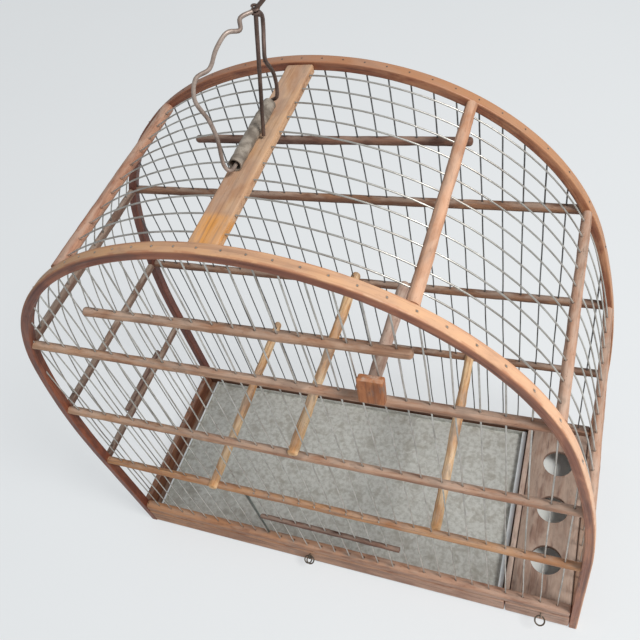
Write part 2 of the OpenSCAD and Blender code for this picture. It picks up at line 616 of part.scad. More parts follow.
place() front_arch();
place() back_arch();
place() front_rail_low();
place() front_rail_mid();
place() front_rail_high();
place() back_rail_low();
place() back_rail_mid();
place() back_rail_high();
place() left_rail_low();
place() left_rail_mid();
place() left_rail_high();
place() right_rail_low();
place() right_rail_mid();
place() right_rail_high();
place() left_shoulder_rail();
place() right_shoulder_rail();
place() ridge_plank();
place() front_spreader();
place() back_spreader();
place() side_spreader();
place() base_front_rail();
place() base_back_board();
place() base_left_board();
place() base_right_board();
place() runners();
place() divider_board();
place() feeder_board();
place() gate_post();
place() front_wires_left();
place() front_wires_middle();
place() front_wires_right();
place() back_wires();
place() left_side_wires();
place() right_side_wires();
place() left_shoulder_wires();
place() right_shoulder_wires();
place() left_roof_wires();
place() right_roof_wires();
place() perch_left();
place() perch_middle();
place() perch_right();
place() tray_pan();
place() tray_front();
place() tray_staple();
place() tray_ring_left();
place() tray_ring_right();
place() drawer_pan();
place() drawer_front();
place() drawer_staple();
place() drawer_ring();
place() gate_bar();
place() gate_wires();
place() plug_perch_rod();
place() plug_perch_block();
place() hanger_barrel();
place() hanger_bail_front();
place() hanger_bail_back();
place() hanger_stem();
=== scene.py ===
import math

import bmesh
import bpy
from mathutils import Matrix, Vector, noise


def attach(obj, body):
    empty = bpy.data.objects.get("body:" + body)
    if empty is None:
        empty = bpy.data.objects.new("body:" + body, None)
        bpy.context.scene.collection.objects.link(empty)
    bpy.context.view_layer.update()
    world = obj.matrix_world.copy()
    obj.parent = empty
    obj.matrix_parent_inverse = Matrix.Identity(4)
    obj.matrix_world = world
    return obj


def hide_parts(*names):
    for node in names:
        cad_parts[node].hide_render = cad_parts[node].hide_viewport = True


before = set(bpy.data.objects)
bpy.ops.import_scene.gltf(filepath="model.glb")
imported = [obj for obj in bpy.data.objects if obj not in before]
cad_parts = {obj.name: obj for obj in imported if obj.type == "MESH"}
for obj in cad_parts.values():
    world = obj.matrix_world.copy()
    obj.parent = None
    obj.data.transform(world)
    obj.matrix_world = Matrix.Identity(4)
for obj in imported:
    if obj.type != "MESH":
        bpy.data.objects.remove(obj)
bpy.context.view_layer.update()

# ---------------- sizes
# Driving dimensions of the cage in millimetres, in the frame's axes:
# X across the front, Y from the front wires to the back, Z up.
# ORIGIN is the frame's origin, which lies behind the front wires.
MM = 0.001
ORIGIN = Vector((0.0, 93.25, 0.0))
HALF_WIDTH = 231.5
SPRING = 152.0
SIDE_R, SIDE_A = 643.0, math.radians(14.3)
SHOULDER_R = 206.5
CROWN = 468.6
STRIP_T, STRIP_W = 7.0, 9.0
DEPTH = 186.5
WIRE_R, PITCH = 0.6, 15.0
FRONT_SHIFT, BACK_SHIFT = 2.8, 3.3
HOOPS = 11
LOOP_PITCH = DEPTH / (HOOPS + 1)
FRONT_N = 14
RAIL_R = 4.0
LOW_Z, MID_Z, HIGH_Z = 138.5, 236.0, 340.0
SHOULDER_DEG = 58.0
BASE_H, SIDE_H = 38.0, 34.0
FRONT_RAIL_H = 11.5
GATE_FIRST, GATE_LAST, GATE_OUT = -4, 4, 2.2
HALF_T = STRIP_T / 2
INNER_X = HALF_WIDTH - STRIP_T

# centres of the side, shoulder and crown curves
C1 = Vector((HALF_WIDTH - SIDE_R, SPRING))
C2 = C1 + (SIDE_R - SHOULDER_R) * Vector((math.cos(SIDE_A), math.sin(SIDE_A)))
CROWN_D = CROWN - C2.y
CROWN_R = (C2.x ** 2 + CROWN_D ** 2 - SHOULDER_R ** 2) / (2 * (CROWN_D - SHOULDER_R))
C3 = Vector((0.0, CROWN - CROWN_R))
CROWN_A = math.atan2(C2.y - C3.y, C2.x)
HIGH_A = math.asin((HIGH_Z - C2.y) / (SHOULDER_R - HALF_T))


def fx(i):
    return FRONT_SHIFT + PITCH * i


def bx(i):
    return BACK_SHIFT + PITCH * i


def curve_at(centre, radius, angle):
    return centre + radius * Vector((math.cos(angle), math.sin(angle)))


OUTLINE_STEP = 1.2


def outline():
    """Outside of an arch from the right foot over the crown to the left foot: (x, z, angle of the normal)."""
    right = [(HALF_WIDTH, z, 0.0) for z in spaced(0.0, SPRING, OUTLINE_STEP)[:-1]]
    for centre, radius, a0, a1 in ((C1, SIDE_R, 0.0, SIDE_A), (C2, SHOULDER_R, SIDE_A, CROWN_A),
                                   (C3, CROWN_R, CROWN_A, math.pi / 2)):
        for a in spaced(a0, a1, OUTLINE_STEP / radius)[:-1]:
            p = curve_at(centre, radius, a)
            right.append((p.x, p.y, a))
    top = [(0.0, CROWN, math.pi / 2)]
    left = [(-x, z, math.pi - a) for x, z, a in reversed(right)]
    return right + top + left


def spaced(a, b, step):
    """Values from a to b, evenly spaced and about step apart."""
    n = max(1, round(abs(b - a) / step))
    return [a + (b - a) * i / n for i in range(n + 1)]


def strip_z(x):
    """Height of the strip's outside at x."""
    a = abs(x)
    if a < CROWN_R * math.cos(CROWN_A):
        return C3.y + math.sqrt(CROWN_R ** 2 - a * a)
    if a < C2.x + SHOULDER_R * math.cos(SIDE_A):
        return C2.y + math.sqrt(SHOULDER_R ** 2 - (a - C2.x) ** 2)
    return C1.y + math.sqrt(SIDE_R ** 2 - (a - C1.x) ** 2)


def side_x(z):
    """Distance of the strip's centre line from the middle at the height z."""
    if z < SPRING:
        return HALF_WIDTH - HALF_T
    if z < C2.y + (SHOULDER_R - HALF_T) * math.sin(SIDE_A):
        return C1.x + math.sqrt((SIDE_R - HALF_T) ** 2 - (z - C1.y) ** 2)
    return C2.x + math.sqrt((SHOULDER_R - HALF_T) ** 2 - (z - C2.y) ** 2)


# ---------------- materials
class Nodes:
    """Small helper that builds the node tree of a material or of the world."""

    def __init__(self, owner, out):
        owner.use_nodes = True
        self.tree = owner.node_tree
        self.tree.nodes.clear()
        self.out = self.add(out)

    @classmethod
    def surface(cls, name):
        """A new material with its output and main shader."""
        material = bpy.data.materials.new(name)
        n = cls(material, "ShaderNodeOutputMaterial")
        n.material = material
        n.shader = n.add("ShaderNodeBsdfPrincipled")
        n.link(n.shader.outputs["BSDF"], n.out.inputs["Surface"])
        return n

    def add(self, kind, **settings):
        node = self.tree.nodes.new(kind)
        for key, value in settings.items():
            setattr(node, key, value)
        return node

    def link(self, a, b):
        self.tree.links.new(a, b)

    def put(self, value, socket):
        if isinstance(value, bpy.types.NodeSocket):
            self.link(value, socket)
        else:
            socket.default_value = value

    def math(self, operation, a, b):
        node = self.add("ShaderNodeMath", operation=operation)
        for value, socket in zip((a, b), node.inputs):
            self.put(value, socket)
        return node.outputs[0]

    def scaled(self, vector, factors):
        node = self.add("ShaderNodeVectorMath", operation="MULTIPLY")
        self.put(vector, node.inputs[0])
        node.inputs[1].default_value = factors
        return node.outputs[0]

    def attribute(self, name, output="Fac"):
        return self.add("ShaderNodeAttribute", attribute_name=name).outputs[output]

    def noise(self, vector, scale, detail=3.0, rough=0.55, distortion=0.0):
        node = self.add("ShaderNodeTexNoise")
        self.link(vector, node.inputs["Vector"])
        node.inputs["Scale"].default_value = scale
        node.inputs["Detail"].default_value = detail
        node.inputs["Roughness"].default_value = rough
        node.inputs["Distortion"].default_value = distortion
        return node.outputs["Fac"]

    def ramp(self, value, low, high, a=0.0, b=1.0):
        node = self.add("ShaderNodeMapRange", interpolation_type="SMOOTHSTEP")
        self.link(value, node.inputs["Value"])
        for key, v in (("From Min", low), ("From Max", high), ("To Min", a), ("To Max", b)):
            node.inputs[key].default_value = v
        return node.outputs["Result"]

    def mix(self, factor, a, b):
        node = self.add("ShaderNodeMix", data_type="RGBA")
        self.put(factor, node.inputs["Factor"])
        for value, socket in ((a, node.inputs[6]), (b, node.inputs[7])):
            self.put((*value, 1.0) if isinstance(value, tuple) else value, socket)
        return node.outputs[2]

    def stain(self, colour, tone, value, low, high, amount):
        """The colour with the tone over it, by the amount, where the value is over high."""
        return self.mix(self.math("MULTIPLY", self.ramp(value, low, high), amount), colour, tone)

    def bump(self, height, distance, strength):
        node = self.add("ShaderNodeBump")
        node.inputs["Strength"].default_value = strength
        node.inputs["Distance"].default_value = distance
        self.link(height, node.inputs["Height"])
        return node.outputs["Normal"]

    def blend(self, factor, a, b):
        """Output of a shader that goes from a to b by the factor."""
        node = self.add("ShaderNodeMixShader")
        for value, socket in zip((factor, a, b), node.inputs):
            self.put(value, socket)
        return node.outputs[0]


def linear(r, g, b):
    """Colour written as display values from 11 to 255, in scene light."""
    return tuple(((v / 255 + 0.055) / 1.055) ** 2.4 for v in (r, g, b))


# how fine each pattern of the wood is, in waves per metre along the grain and twice across it
FIBRE, STREAK, PATCH = (26, 1300, 1300), (9, 330, 330), (22, 70, 70)
WEAR, SPECKS, RUB = (38, 120, 120), (260, 700, 700), (90, 200, 200)
# of these tones the first is pale dust with painted top light in it, and the last the painted shade of wire
# holes
DUST_AND_TOP_LIGHT_TONE, WEATHERED_TONE, WIRE_HOLE_SHADE_TONE = linear(205, 186, 170), linear(132, 110, 96), linear(52, 38, 32)
STAIN_FADE = 0.006


def wood(name, pale, mid, dark, rough=0.6, grey=0.3, painted_light=None, top=None, painted_light_top=None, front=None,
         speck=0.45, seed=0.0):
    """Old wood with fibres along the first value of each mesh's grain attribute. sun is the (pale, mid) pair
    that it goes to at the right of the cage, as painted light where more lamp light falls. top is the colour
    of a bent strip's outer face, its own paler tone with painted top light in it, and painted_light_top what
    that goes to at the right, again as painted light. front is (colour, length) of a stain at the start of
    the grain. grey is how weathered it is, and speck how strong its dark specks are. Colours are display
    values."""
    n = Nodes.surface(name)
    pale, mid, dark = linear(*pale), linear(*mid), linear(*dark)
    grain = n.attribute("grain", "Vector")
    shifted = n.add("ShaderNodeVectorMath", operation="ADD")
    n.link(grain, shifted.inputs[0])
    shifted.inputs[1].default_value = (seed, 0.37 * seed, 0.71 * seed)
    at = shifted.outputs[0]
    fibre = n.noise(n.scaled(at, FIBRE), 1.0, 4.0, 0.6, 0.2)
    streak = n.noise(n.scaled(at, STREAK), 1.0, 3.0, 0.55, 0.5)
    patch = n.noise(n.scaled(at, PATCH), 1.0, 4.0, 0.62, 0.4)
    worn = n.noise(n.scaled(at, WEAR), 1.0, 3.0, 0.6, 0.3)
    specks = n.noise(n.scaled(at, SPECKS), 1.0, 2.0, 0.65)
    # painted light: towards the right of the cage the colours go over to the pair given for there, as where
    # more light falls
    light = n.attribute("painted_light")
    if painted_light is not None:
        pale = n.mix(light, pale, linear(*painted_light[0]))
        mid = n.mix(light, mid, linear(*painted_light[1]))
    colour = n.mix(n.ramp(patch, 0.4, 0.62), mid, pale)
    if front is not None:
        along = n.add("ShaderNodeSeparateXYZ")
        n.link(grain, along.inputs[0])
        reach = n.math("ADD", along.outputs[0], n.math("MULTIPLY", patch, 0.012))
        length = front[1] * MM
        colour = n.mix(n.ramp(reach, length, length + STAIN_FADE, 0.8, 0.0), colour, linear(*front[0]))
    colour = n.stain(colour, dark, streak, 0.48, 0.72, 0.6)
    colour = n.stain(colour, dark, fibre, 0.5, 0.75, 0.42)
    # outer face of a bent strip: its own paler tone with painted top light in it, painted paler still at the
    # right
    if top is not None:
        face = n.mix(light, linear(*top), linear(*painted_light_top))
        face = n.stain(face, mid, streak, 0.48, 0.75, 0.45)
        face = n.stain(face, dark, fibre, 0.55, 0.8, 0.22)
        outer = n.math("MULTIPLY", n.attribute("outer"), n.ramp(worn, 0.3, 0.7, 0.97, 0.75))
        colour = n.mix(outer, colour, face)
    # pale dust on upward faces, with painted top light in it
    dust_and_top_light = n.math("MULTIPLY", n.ramp(n.attribute("up"), 0.35, 0.95), n.ramp(worn, 0.34, 0.62))
    colour = n.mix(n.math("MULTIPLY", dust_and_top_light, grey), colour, DUST_AND_TOP_LIGHT_TONE)
    colour = n.stain(colour, WEATHERED_TONE, worn, 0.54, 0.68, grey)
    colour = n.stain(colour, dark, specks, 0.62, 0.74, speck)
    rubbed = n.math("MULTIPLY", n.attribute("edge"), n.ramp(n.noise(n.scaled(at, RUB), 1.0), 0.42, 0.6))
    colour = n.mix(n.math("MULTIPLY", rubbed, 0.6), colour, pale)
    # painted shade in the holes where the wires go in
    colour = n.stain(colour, WIRE_HOLE_SHADE_TONE, n.attribute("wire_hole_shade"), 0.15, 0.7, 0.9)
    n.link(colour, n.shader.inputs["Base Color"])
    n.link(n.ramp(fibre, 0.3, 0.8, rough - 0.08, rough + 0.15), n.shader.inputs["Roughness"])
    height = n.math("ADD", n.math("MULTIPLY", fibre, 0.35), n.math("MULTIPLY", worn, 0.65))
    n.link(n.bump(height, 0.0009, 0.5), n.shader.inputs["Normal"])
    return n.material


def metal(name, colour, dark, shine, rough, scale, rust, amount, contrast=0.6):
    """Dull metal with a mottled, stained surface, in the piece's own coordinates. scale is how fine its
    smallest pattern is, amount how much of rust shows, and contrast how strong the mottling is."""
    n = Nodes.surface(name)
    at = n.add("ShaderNodeTexCoord").outputs["Object"]
    dark = linear(*dark)
    fine = n.noise(at, scale, 3.0, 0.6)
    cloud = n.noise(at, scale / 12, 4.0, 0.6, 0.3)
    broad = n.noise(at, scale / 34, 4.0, 0.62, 0.5)
    base = n.stain(linear(*colour), dark, cloud, 0.38, 0.68, contrast)
    base = n.stain(base, dark, fine, 0.52, 0.72, 0.5 * contrast)
    base = n.stain(base, linear(*rust), broad, 0.48, 0.68, amount)
    n.link(base, n.shader.inputs["Base Color"])
    n.shader.inputs["Metallic"].default_value = shine
    n.link(n.ramp(cloud, 0.3, 0.7, rough - 0.08, rough + 0.14), n.shader.inputs["Roughness"])
    height = n.math("ADD", n.math("MULTIPLY", fine, 0.4), cloud)
    n.link(n.bump(height, 0.0004, 0.35), n.shader.inputs["Normal"])
    return n.material


# colours of each finish, as they show in plain light, apart from the painted light and shade noted beside
# them
# the pairs given for the right of the cage, and the outer tops of the strips, are painted light
ARCH = wood("arch_wood", (142, 78, 52), (106, 55, 40), (66, 36, 29), rough=0.45, grey=0.15,
            painted_light=((192, 126, 92), (156, 94, 68)), top=(176, 130, 78), painted_light_top=(242, 194, 156), speck=0.12,
            seed=1.0)
ARCH_BACK = wood("back_arch_wood", (122, 68, 52), (98, 54, 44), (62, 34, 30), rough=0.5, grey=0.15,
                 painted_light=((196, 138, 100), (150, 88, 58)), top=(140, 84, 62), painted_light_top=(196, 146, 106),
                 speck=0.12, seed=2.0)
RAIL = wood("rail_wood", (190, 150, 118), (164, 118, 88), (96, 66, 50), grey=0.5,
            painted_light=((202, 162, 138), (172, 126, 100)), seed=3.0)
RAIL_LOW = wood("low_rail_wood", (186, 134, 88), (160, 108, 70), (98, 64, 42), grey=0.35,
                painted_light=((206, 158, 118), (186, 132, 92)), seed=4.0)
RAIL_DARK = wood("back_rail_wood", (158, 118, 92), (124, 88, 68), (74, 50, 40), rough=0.65, grey=0.45,
                 painted_light=((160, 116, 84), (114, 76, 54)), seed=5.0)
# painted light and shade: the left rails and left shoulder take darker copies of the rail wood, and the right
# shoulder a paler one, as light falls from the right
RAIL_LEFT = wood("left_rail_wood", (146, 118, 100), (116, 88, 74), (70, 50, 42), rough=0.65, grey=0.6,
                 seed=5.5)
SHOULDER_LEFT = wood("left_shoulder_wood", (182, 136, 110), (156, 106, 82), (96, 62, 48), grey=0.45,
                     seed=5.8)
SHOULDER_RIGHT = wood("right_shoulder_wood", (220, 172, 140), (192, 138, 104), (124, 82, 60), speck=0.3,
                      seed=5.9)
RIDGE = wood("ridge_wood", (200, 160, 124), (178, 134, 102), (136, 94, 66), rough=0.62,
             front=((222, 152, 66), 27.0), speck=0.25, seed=6.0)
BASE = wood("base_rail_wood", (188, 132, 88), (154, 102, 66), (92, 60, 42), rough=0.5, grey=0.35,
            painted_light=((202, 162, 140), (164, 118, 96)), seed=7.0)
LEFT_BOARD = wood("left_board_wood", (150, 102, 74), (118, 74, 54), (66, 42, 34), seed=7.5)
BOARD = wood("board_wood", (150, 114, 92), (122, 88, 70), (76, 52, 42), rough=0.66, grey=0.4, seed=8.0)
FEEDER = wood("feeder_wood", (160, 132, 116), (132, 104, 90), (84, 62, 54), rough=0.72, grey=0.4, speck=0.3,
              seed=9.0)
PERCH = wood("perch_wood", (240, 206, 162), (208, 152, 98), (116, 78, 52), rough=0.66, grey=0.5, seed=10.0)
TAN_WOOD = wood("spreader_wood", (196, 160, 134), (166, 122, 94), (98, 70, 54), rough=0.7, grey=0.5,
                seed=11.0)
PLUG_WOOD = wood("plug_wood", (196, 170, 154), (166, 134, 118), (110, 84, 72), rough=0.7, grey=0.6,
                 seed=11.5)
DIVIDER_WOOD = wood("divider_wood", (206, 182, 168), (176, 148, 132), (120, 92, 80), rough=0.7, grey=0.5,
                    seed=11.8)
DARK_WOOD = wood("dark_wood", (124, 92, 80), (90, 62, 52), (54, 36, 30), rough=0.68,
                 painted_light=((140, 100, 78), (98, 64, 50)), seed=12.0)
BLOCK = wood("block_wood", (190, 124, 78), (156, 94, 58), (80, 46, 32), rough=0.55, grey=0.9, seed=13.0)
WIRE = metal("wire_steel", (206, 204, 198), (150, 146, 140), 0.85, 0.38, 700, (120, 100, 84), 0.3)
# painted shade: a darker copy of the wire steel for the back wires, which are seen in shade
SHADED_WIRE = metal("shaded_wire_steel", (122, 124, 124), (72, 72, 72), 0.7, 0.45, 700, (64, 54, 46), 0.45)
ZINC = metal("zinc_sheet", (208, 209, 204), (172, 171, 163), 0.1, 0.62, 2600, (158, 153, 142), 0.6,
             contrast=0.75)
# painted highlight: near white and not metallic, for the bright light on the zinc rims
RIM_HIGHLIGHT = metal("painted_highlight_rim", (248, 252, 254), (226, 236, 242), 0.0, 0.42, 500, (170, 172, 170), 0.3)
POST = metal("post_sheet", (118, 124, 118), (84, 88, 82), 0.3, 0.5, 900, (70, 64, 54), 0.5)
PALE = metal("pale_pan", (240, 243, 242), (226, 230, 228), 0.0, 0.5, 300, (206, 210, 200), 0.3)
BARREL = metal("barrel_sheet", (170, 160, 148), (106, 96, 86), 0.25, 0.55, 1500, (70, 58, 50), 0.7,
               contrast=0.85)
HANGER = metal("hanger_steel", (176, 160, 150), (112, 94, 84), 0.4, 0.5, 600, (82, 62, 54), 0.75,
               contrast=0.8)
STEM = metal("dark_hanger_steel", (118, 98, 90), (78, 62, 56), 0.5, 0.5, 600, (60, 44, 36), 0.6)
RING = metal("ring_steel", (112, 104, 92), (72, 64, 56), 0.6, 0.5, 800, (84, 62, 44), 0.5)


# ---------------- mesh making
SHARP_ANGLE = math.radians(38)


class Shape:
    """A piece's mesh in millimetres, with the values that its material reads at each vertex."""

    def __init__(self):
        self.co, self.faces = [], []
        # the last value is the painted shade of wire holes
        self.values = {"grain": [], "edge": [], "outer": [], "wire_hole_shade": []}

    def vertex(self, co, grain, edge=0.0, outer=0.0, wire_hole_shade=0.0):
        self.co.append(Vector(co))
        for key, value in (("grain", grain), ("edge", edge), ("outer", outer), ("wire_hole_shade", wire_hole_shade)):
            self.values[key].append(value)
        return len(self.co) - 1

    def rings(self, rings):
        """Joins rings of vertex numbers by faces, and closes both ends."""
        n = len(rings[0])
        for a, b in zip(rings, rings[1:]):
            for j in range(n):
                k = (j + 1) % n
                self.faces.append((a[j], a[k], b[k], b[j]))
        self.faces.append(tuple(reversed(rings[0])))
        self.faces.append(tuple(rings[-1]))

    def make(self, name, body, material, slot, *nodes):
        """The finished piece, which rides on the body and replaces the nodes."""
        mesh = bpy.data.meshes.new(name)
        mesh.from_pydata([(co - ORIGIN) * MM for co in self.co], [], self.faces)
        for key, values in self.values.items():
            if key == "grain":
                layer = mesh.attributes.new(key, "FLOAT_VECTOR", "POINT")
                layer.data.foreach_set("vector", [c * MM for v in values for c in v])
            else:
                layer = mesh.attributes.new(key, "FLOAT", "POINT")
                layer.data.foreach_set("value", values)
        work = bmesh.new()
        work.from_mesh(mesh)
        bmesh.ops.recalc_face_normals(work, faces=work.faces)
        work.to_mesh(mesh)
        work.free()
        up = [max(0.0, v.normal.z) for v in mesh.vertices]
        # painted light: a share from 0 at the left to 1 at the right of the cage, by which the wood goes over
        # to its painted-light colours
        painted_light = [min(1.0, max(0.0, 0.5 + co.x / (2 * HALF_WIDTH))) for co in self.co]
        for key, values in (("up", up), ("painted_light", painted_light)):
            mesh.attributes.new(key, "FLOAT", "POINT").data.foreach_set("value", values)
        mesh.polygons.foreach_set("use_smooth", [True] * len(mesh.polygons))
        mesh.set_sharp_from_angle(angle=SHARP_ANGLE)
        mesh.materials.append(material)
        piece = bpy.data.objects.new(name, mesh)
        bpy.context.scene.collection.objects.link(piece)
        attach(piece, body)
        if nodes:
            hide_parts(*nodes)
        return piece


def wobble(point, size, seed):
    """A smooth value from -1 to 1 that varies over about size millimetres."""
    return noise.noise(Vector(point) / size + Vector((seed, 2.3 * seed, 5.1 * seed)))


def off_beat(value, pitch, shift):
    """Distance of a value from the nearest copy of a pattern."""
    return abs((value - shift + pitch / 2) % pitch - pitch / 2)


def frames(points):
    """Two directions across a path at each of its points, carried along without twist."""
    hint = Vector((0.0, 0.0, 1.0))
    tangents = []
    for i in range(len(points)):
        a, b = points[max(i - 1, 0)], points[min(i + 1, len(points) - 1)]
        tangents.append((b - a).normalized())
    if abs(tangents[0].dot(hint)) > 0.9:
        hint = Vector((1.0, 0.0, 0.0))
    u = (hint - hint.dot(tangents[0]) * tangents[0]).normalized()
    result = []
    for t in tangents:
        u = (u - u.dot(t) * t).normalized()
        result.append((u, t.cross(u)))
    return result


END_SHARES = (0.0, 0.12, 0.35, 0.7)
ROD_STEP = 1.5
MARK_R, MARK_DEPTH = 1.5, 0.12


def rod(shape, a, b, radius, seed, sides=22, uneven=0.05, bend=0.5, ends=(0.0, 0.0), knots=0.0, wires=None):
    """A slightly uneven round rod. ends rounds each end by that share of the radius; knots is how much its
    thickness varies along it; wires is (axis, pitch, shift, direction) of the wires that go through it, each
    of which leaves a small dent and a dark mark of painted shade for its hole."""
    a, b = Vector(a), Vector(b)
    length = (b - a).length
    along = spaced(ends[0] * radius, length - ends[1] * radius, ROD_STEP)
    if ends[0]:
        along = [ends[0] * radius * share for share in END_SHARES] + along
    if ends[1]:
        along += [length - ends[1] * radius * share for share in reversed(END_SHARES)]
    direction = (b - a).normalized()
    u, v = frames([a, b])[0]
    made = []
    for s in along:
        shrink = 1.0
        for end, d in ((ends[0], s), (ends[1], length - s)):
            if end and d < end * radius:
                q = 1 - d / (end * radius)
                shrink = min(shrink, (1 - end) + end * math.sqrt(max(0.0, 1 - q * q)))
        knot = max(0.0, wobble((s, 1.0, 0.0), 9.0, seed + 13))
        bulge = wobble((s, 5.0, 0.0), 26.0, seed + 11) + 0.6 * knot
        size = radius * shrink * (1 - knots + knots * max(-1.0, min(1.0, bulge)))
        sway = u * wobble((s, 0, 0), 90.0, seed) + v * wobble((s, 9, 0), 90.0, seed + 3)
        centre = a + direction * s + bend * math.sin(math.pi * s / length) * sway
        ring = []
        for j in range(sides):
            angle = 2 * math.pi * j / sides
            way = u * math.cos(angle) + v * math.sin(angle)
            flat = wobble((s / 3, 7 * math.cos(angle), 7 * math.sin(angle)), 9.0, seed)
            lump = wobble((s, 3 * math.cos(angle), 3 * math.sin(angle)), 7.0, seed + 7)
            r = size * (1 - uneven * 0.6 + uneven * (0.8 * flat + 0.5 * lump))
            co = centre + way * r
            # painted shade of the hole, with a small dent, round each wire that goes through
            wire_hole_shade = 0.0
            if wires:
                axis, pitch, shift, wire_way = wires
                across = (co - centre).dot(direction.cross(Vector(wire_way)))
                wire_hole_shade = max(0.0, 1.0 - math.hypot(off_beat(co[axis], pitch, shift), across) / MARK_R)
                r -= MARK_DEPTH * wire_hole_shade
                co = centre + way * r
            grain = (s, r * math.cos(angle), r * math.sin(angle))
            ring.append(shape.vertex(co, grain, 1.0 if shrink < 0.9 else 0.0, 0.0, wire_hole_shade))
        made.append(ring)
    shape.rings(made)
    return shape


def rounded(width, height, corner, step):
    """A closed section with round corners about its middle: (a, b, edge), where edge is 1 on a corner."""
    points = []
    w, h = width / 2 - corner, height / 2 - corner
    for quarter, (ca, cb) in enumerate(((w, h), (-w, h), (-w, -h), (w, -h))):
        for i in range(4):
            angle = math.pi / 2 * (quarter + i / 3)
            points.append((ca + corner * math.cos(angle), cb + corner * math.sin(angle), 1.0))
        run = 2 * (w if quarter % 2 == 0 else h)
        last_a, last_b, _ = points[-1]
        turn_a, turn_b = ((-1, 0), (0, -1), (1, 0), (0, 1))[quarter]
        for d in spaced(0.0, run, step)[1:-1]:
            points.append((last_a + turn_a * d, last_b + turn_b * d, 0.0))
    return points


DIP_R, DIP_DEPTH = 1.7, 0.15


def board(shape, low, high, axis, corner=0.7, step=4.0, cross=3.0, seed=0.0, uneven=0.12, dips=None):
    """A sawn board or strip between two corners, its grain along the axis, with worn edges. dips is (pitch,
    shift, height over the middle) of the wires that enter its top, each of which leaves a small dent and a
    dark mark of painted shade for its hole."""
    low, high = Vector(low), Vector(high)
    p, q = [k for k in range(3) if k != axis]
    middle = (low + high) / 2
    section = rounded(high[p] - low[p], high[q] - low[q], corner, cross)
    length = high[axis] - low[axis]
    along = [0.0, corner * 0.4] + spaced(corner, length - corner, step) + [length - corner * 0.4, length]
    made = []
    for s in along:
        end = min(s, length - s)
        inset = corner * (1 - math.sqrt(max(0.0, 1 - (1 - min(1.0, end / corner)) ** 2)))
        ring = []
        for a, b, edge in section:
            shift = min(0.0, uneven * wobble((s, a, b), 14.0, seed))
            reach = math.hypot(a, b)
            ka = a - math.copysign(inset, a) * (abs(a) > 0.01)
            kb = b - math.copysign(inset, b) * (abs(b) > 0.01)
            co = Vector((0.0, 0.0, 0.0))
            co[axis] = low[axis] + s
            co[p] = middle[p] + ka * (1 + shift / max(reach, 1.0))
            co[q] = middle[q] + kb * (1 + shift / max(reach, 1.0))
            # painted shade of the hole, with a small dent, round each wire that enters the top
            wire_hole_shade = 0.0
            if dips:
                pitch, first, height = dips
                if co[q] > middle[q] + height:
                    gap = math.hypot(off_beat(co[axis], pitch, first), co[p] - middle[p])
                    wire_hole_shade = max(0.0, 1.0 - gap / DIP_R)
                    co[q] -= DIP_DEPTH * wire_hole_shade
            ring.append(shape.vertex(co, (s, a, b), 1.0 if end < corner else edge, 0.0, wire_hole_shade))
        made.append(ring)
    shape.rings(made)
    return shape


def tube(shape, points, radius, seed, uneven, sides=10):
    """A wire along a path of points, its radius slightly uneven."""
    points = [Vector(p) for p in points]
    run = 0.0
    made = []
    for i, (p, (u, v)) in enumerate(zip(points, frames(points))):
        run += (p - points[i - 1]).length if i else 0.0
        ring = []
        for j in range(sides):
            angle = 2 * math.pi * j / sides
            lump = wobble((run, 3 * math.cos(angle), 3 * math.sin(angle)), 3.0, seed)
            r = radius * (1 - uneven / 2 + uneven / 2 * lump)
            co = p + r * (u * math.cos(angle) + v * math.sin(angle))
            ring.append(shape.vertex(co, (run, r * math.cos(angle), r * math.sin(angle))))
        made.append(ring)
    shape.rings(made)
    return shape


def smooth_path(points, steps):
    """Points on a smooth curve through the given ones."""
    points = [Vector(p) for p in points]
    full = [2 * points[0] - points[1]] + points + [2 * points[-1] - points[-2]]
    made = []
    for a, b, c, d in zip(full, full[1:], full[2:], full[3:]):
        for i in range(steps):
            t = i / steps
            made.append(0.5 * (2 * b + (c - a) * t + (2 * a - 5 * b + 4 * c - d) * t * t
                               + (3 * b - a - 3 * c + d) * t ** 3))
    return made + [points[-1]]


# ---------------- arches
SPOT_R = 1.45


def arch(name, node, y, shift, material, seed, dots):
    """A bent strip, slightly uneven and worn at its edges, with a dark spot of painted shade for the hole of
    every wire end. dots is how dark the spots are."""
    shape = Shape()
    section = rounded(STRIP_T, STRIP_W, 0.8, 1.0)
    made = []
    run, before = 0.0, None
    for x, z, angle in outline():
        normal = Vector((math.cos(angle), 0.0, math.sin(angle)))
        point = Vector((x, y, z))
        run += (point - before).length if before else 0.0
        before = point
        ring = []
        for a, b, edge in section:
            outer_face = max(0.0, min(1.0, (a - STRIP_T / 2 + 1.0) / 0.8))
            shrink = 1 - 0.02 * (1 + wobble((run, a, b), 22.0, seed))
            co = point + normal * (a * shrink - HALF_T) + Vector((0.0, b * shrink, 0.0))
            # painted shade for the hole round each wire end on the outer face
            spot = 0.0
            if 0.2 < angle < math.pi - 0.2 and outer_face > 0.0 and abs(x) < fx(FRONT_N) + 2:
                spot = max(0.0, 1.0 - math.hypot(off_beat(co.x, PITCH, shift), b) / SPOT_R) * dots
            ring.append(shape.vertex(co, (run, a, b), edge * 0.9, outer_face, spot))
        made.append(ring)
    shape.rings(made)
    shape.make(name, "cage", material, "arch_wood", node)


arch("front_arch_strip", "front_arch", 0.0, FRONT_SHIFT, ARCH, 3.1, 1.0)
arch("back_arch_strip", "back_arch", DEPTH, BACK_SHIFT, ARCH_BACK, 6.4, 0.6)


# ---------------- rails
def cross_rail(name, node, y, z, shift, material, seed):
    reach = side_x(z) - HALF_T - 0.05
    shape = rod(Shape(), (-reach, y, z), (reach, y, z), RAIL_R, seed, uneven=0.07, bend=0.3, knots=0.03,
                wires=(0, PITCH, shift, (0, 0, 1)))
    shape.make(name, "cage", material, "rail_wood", node)


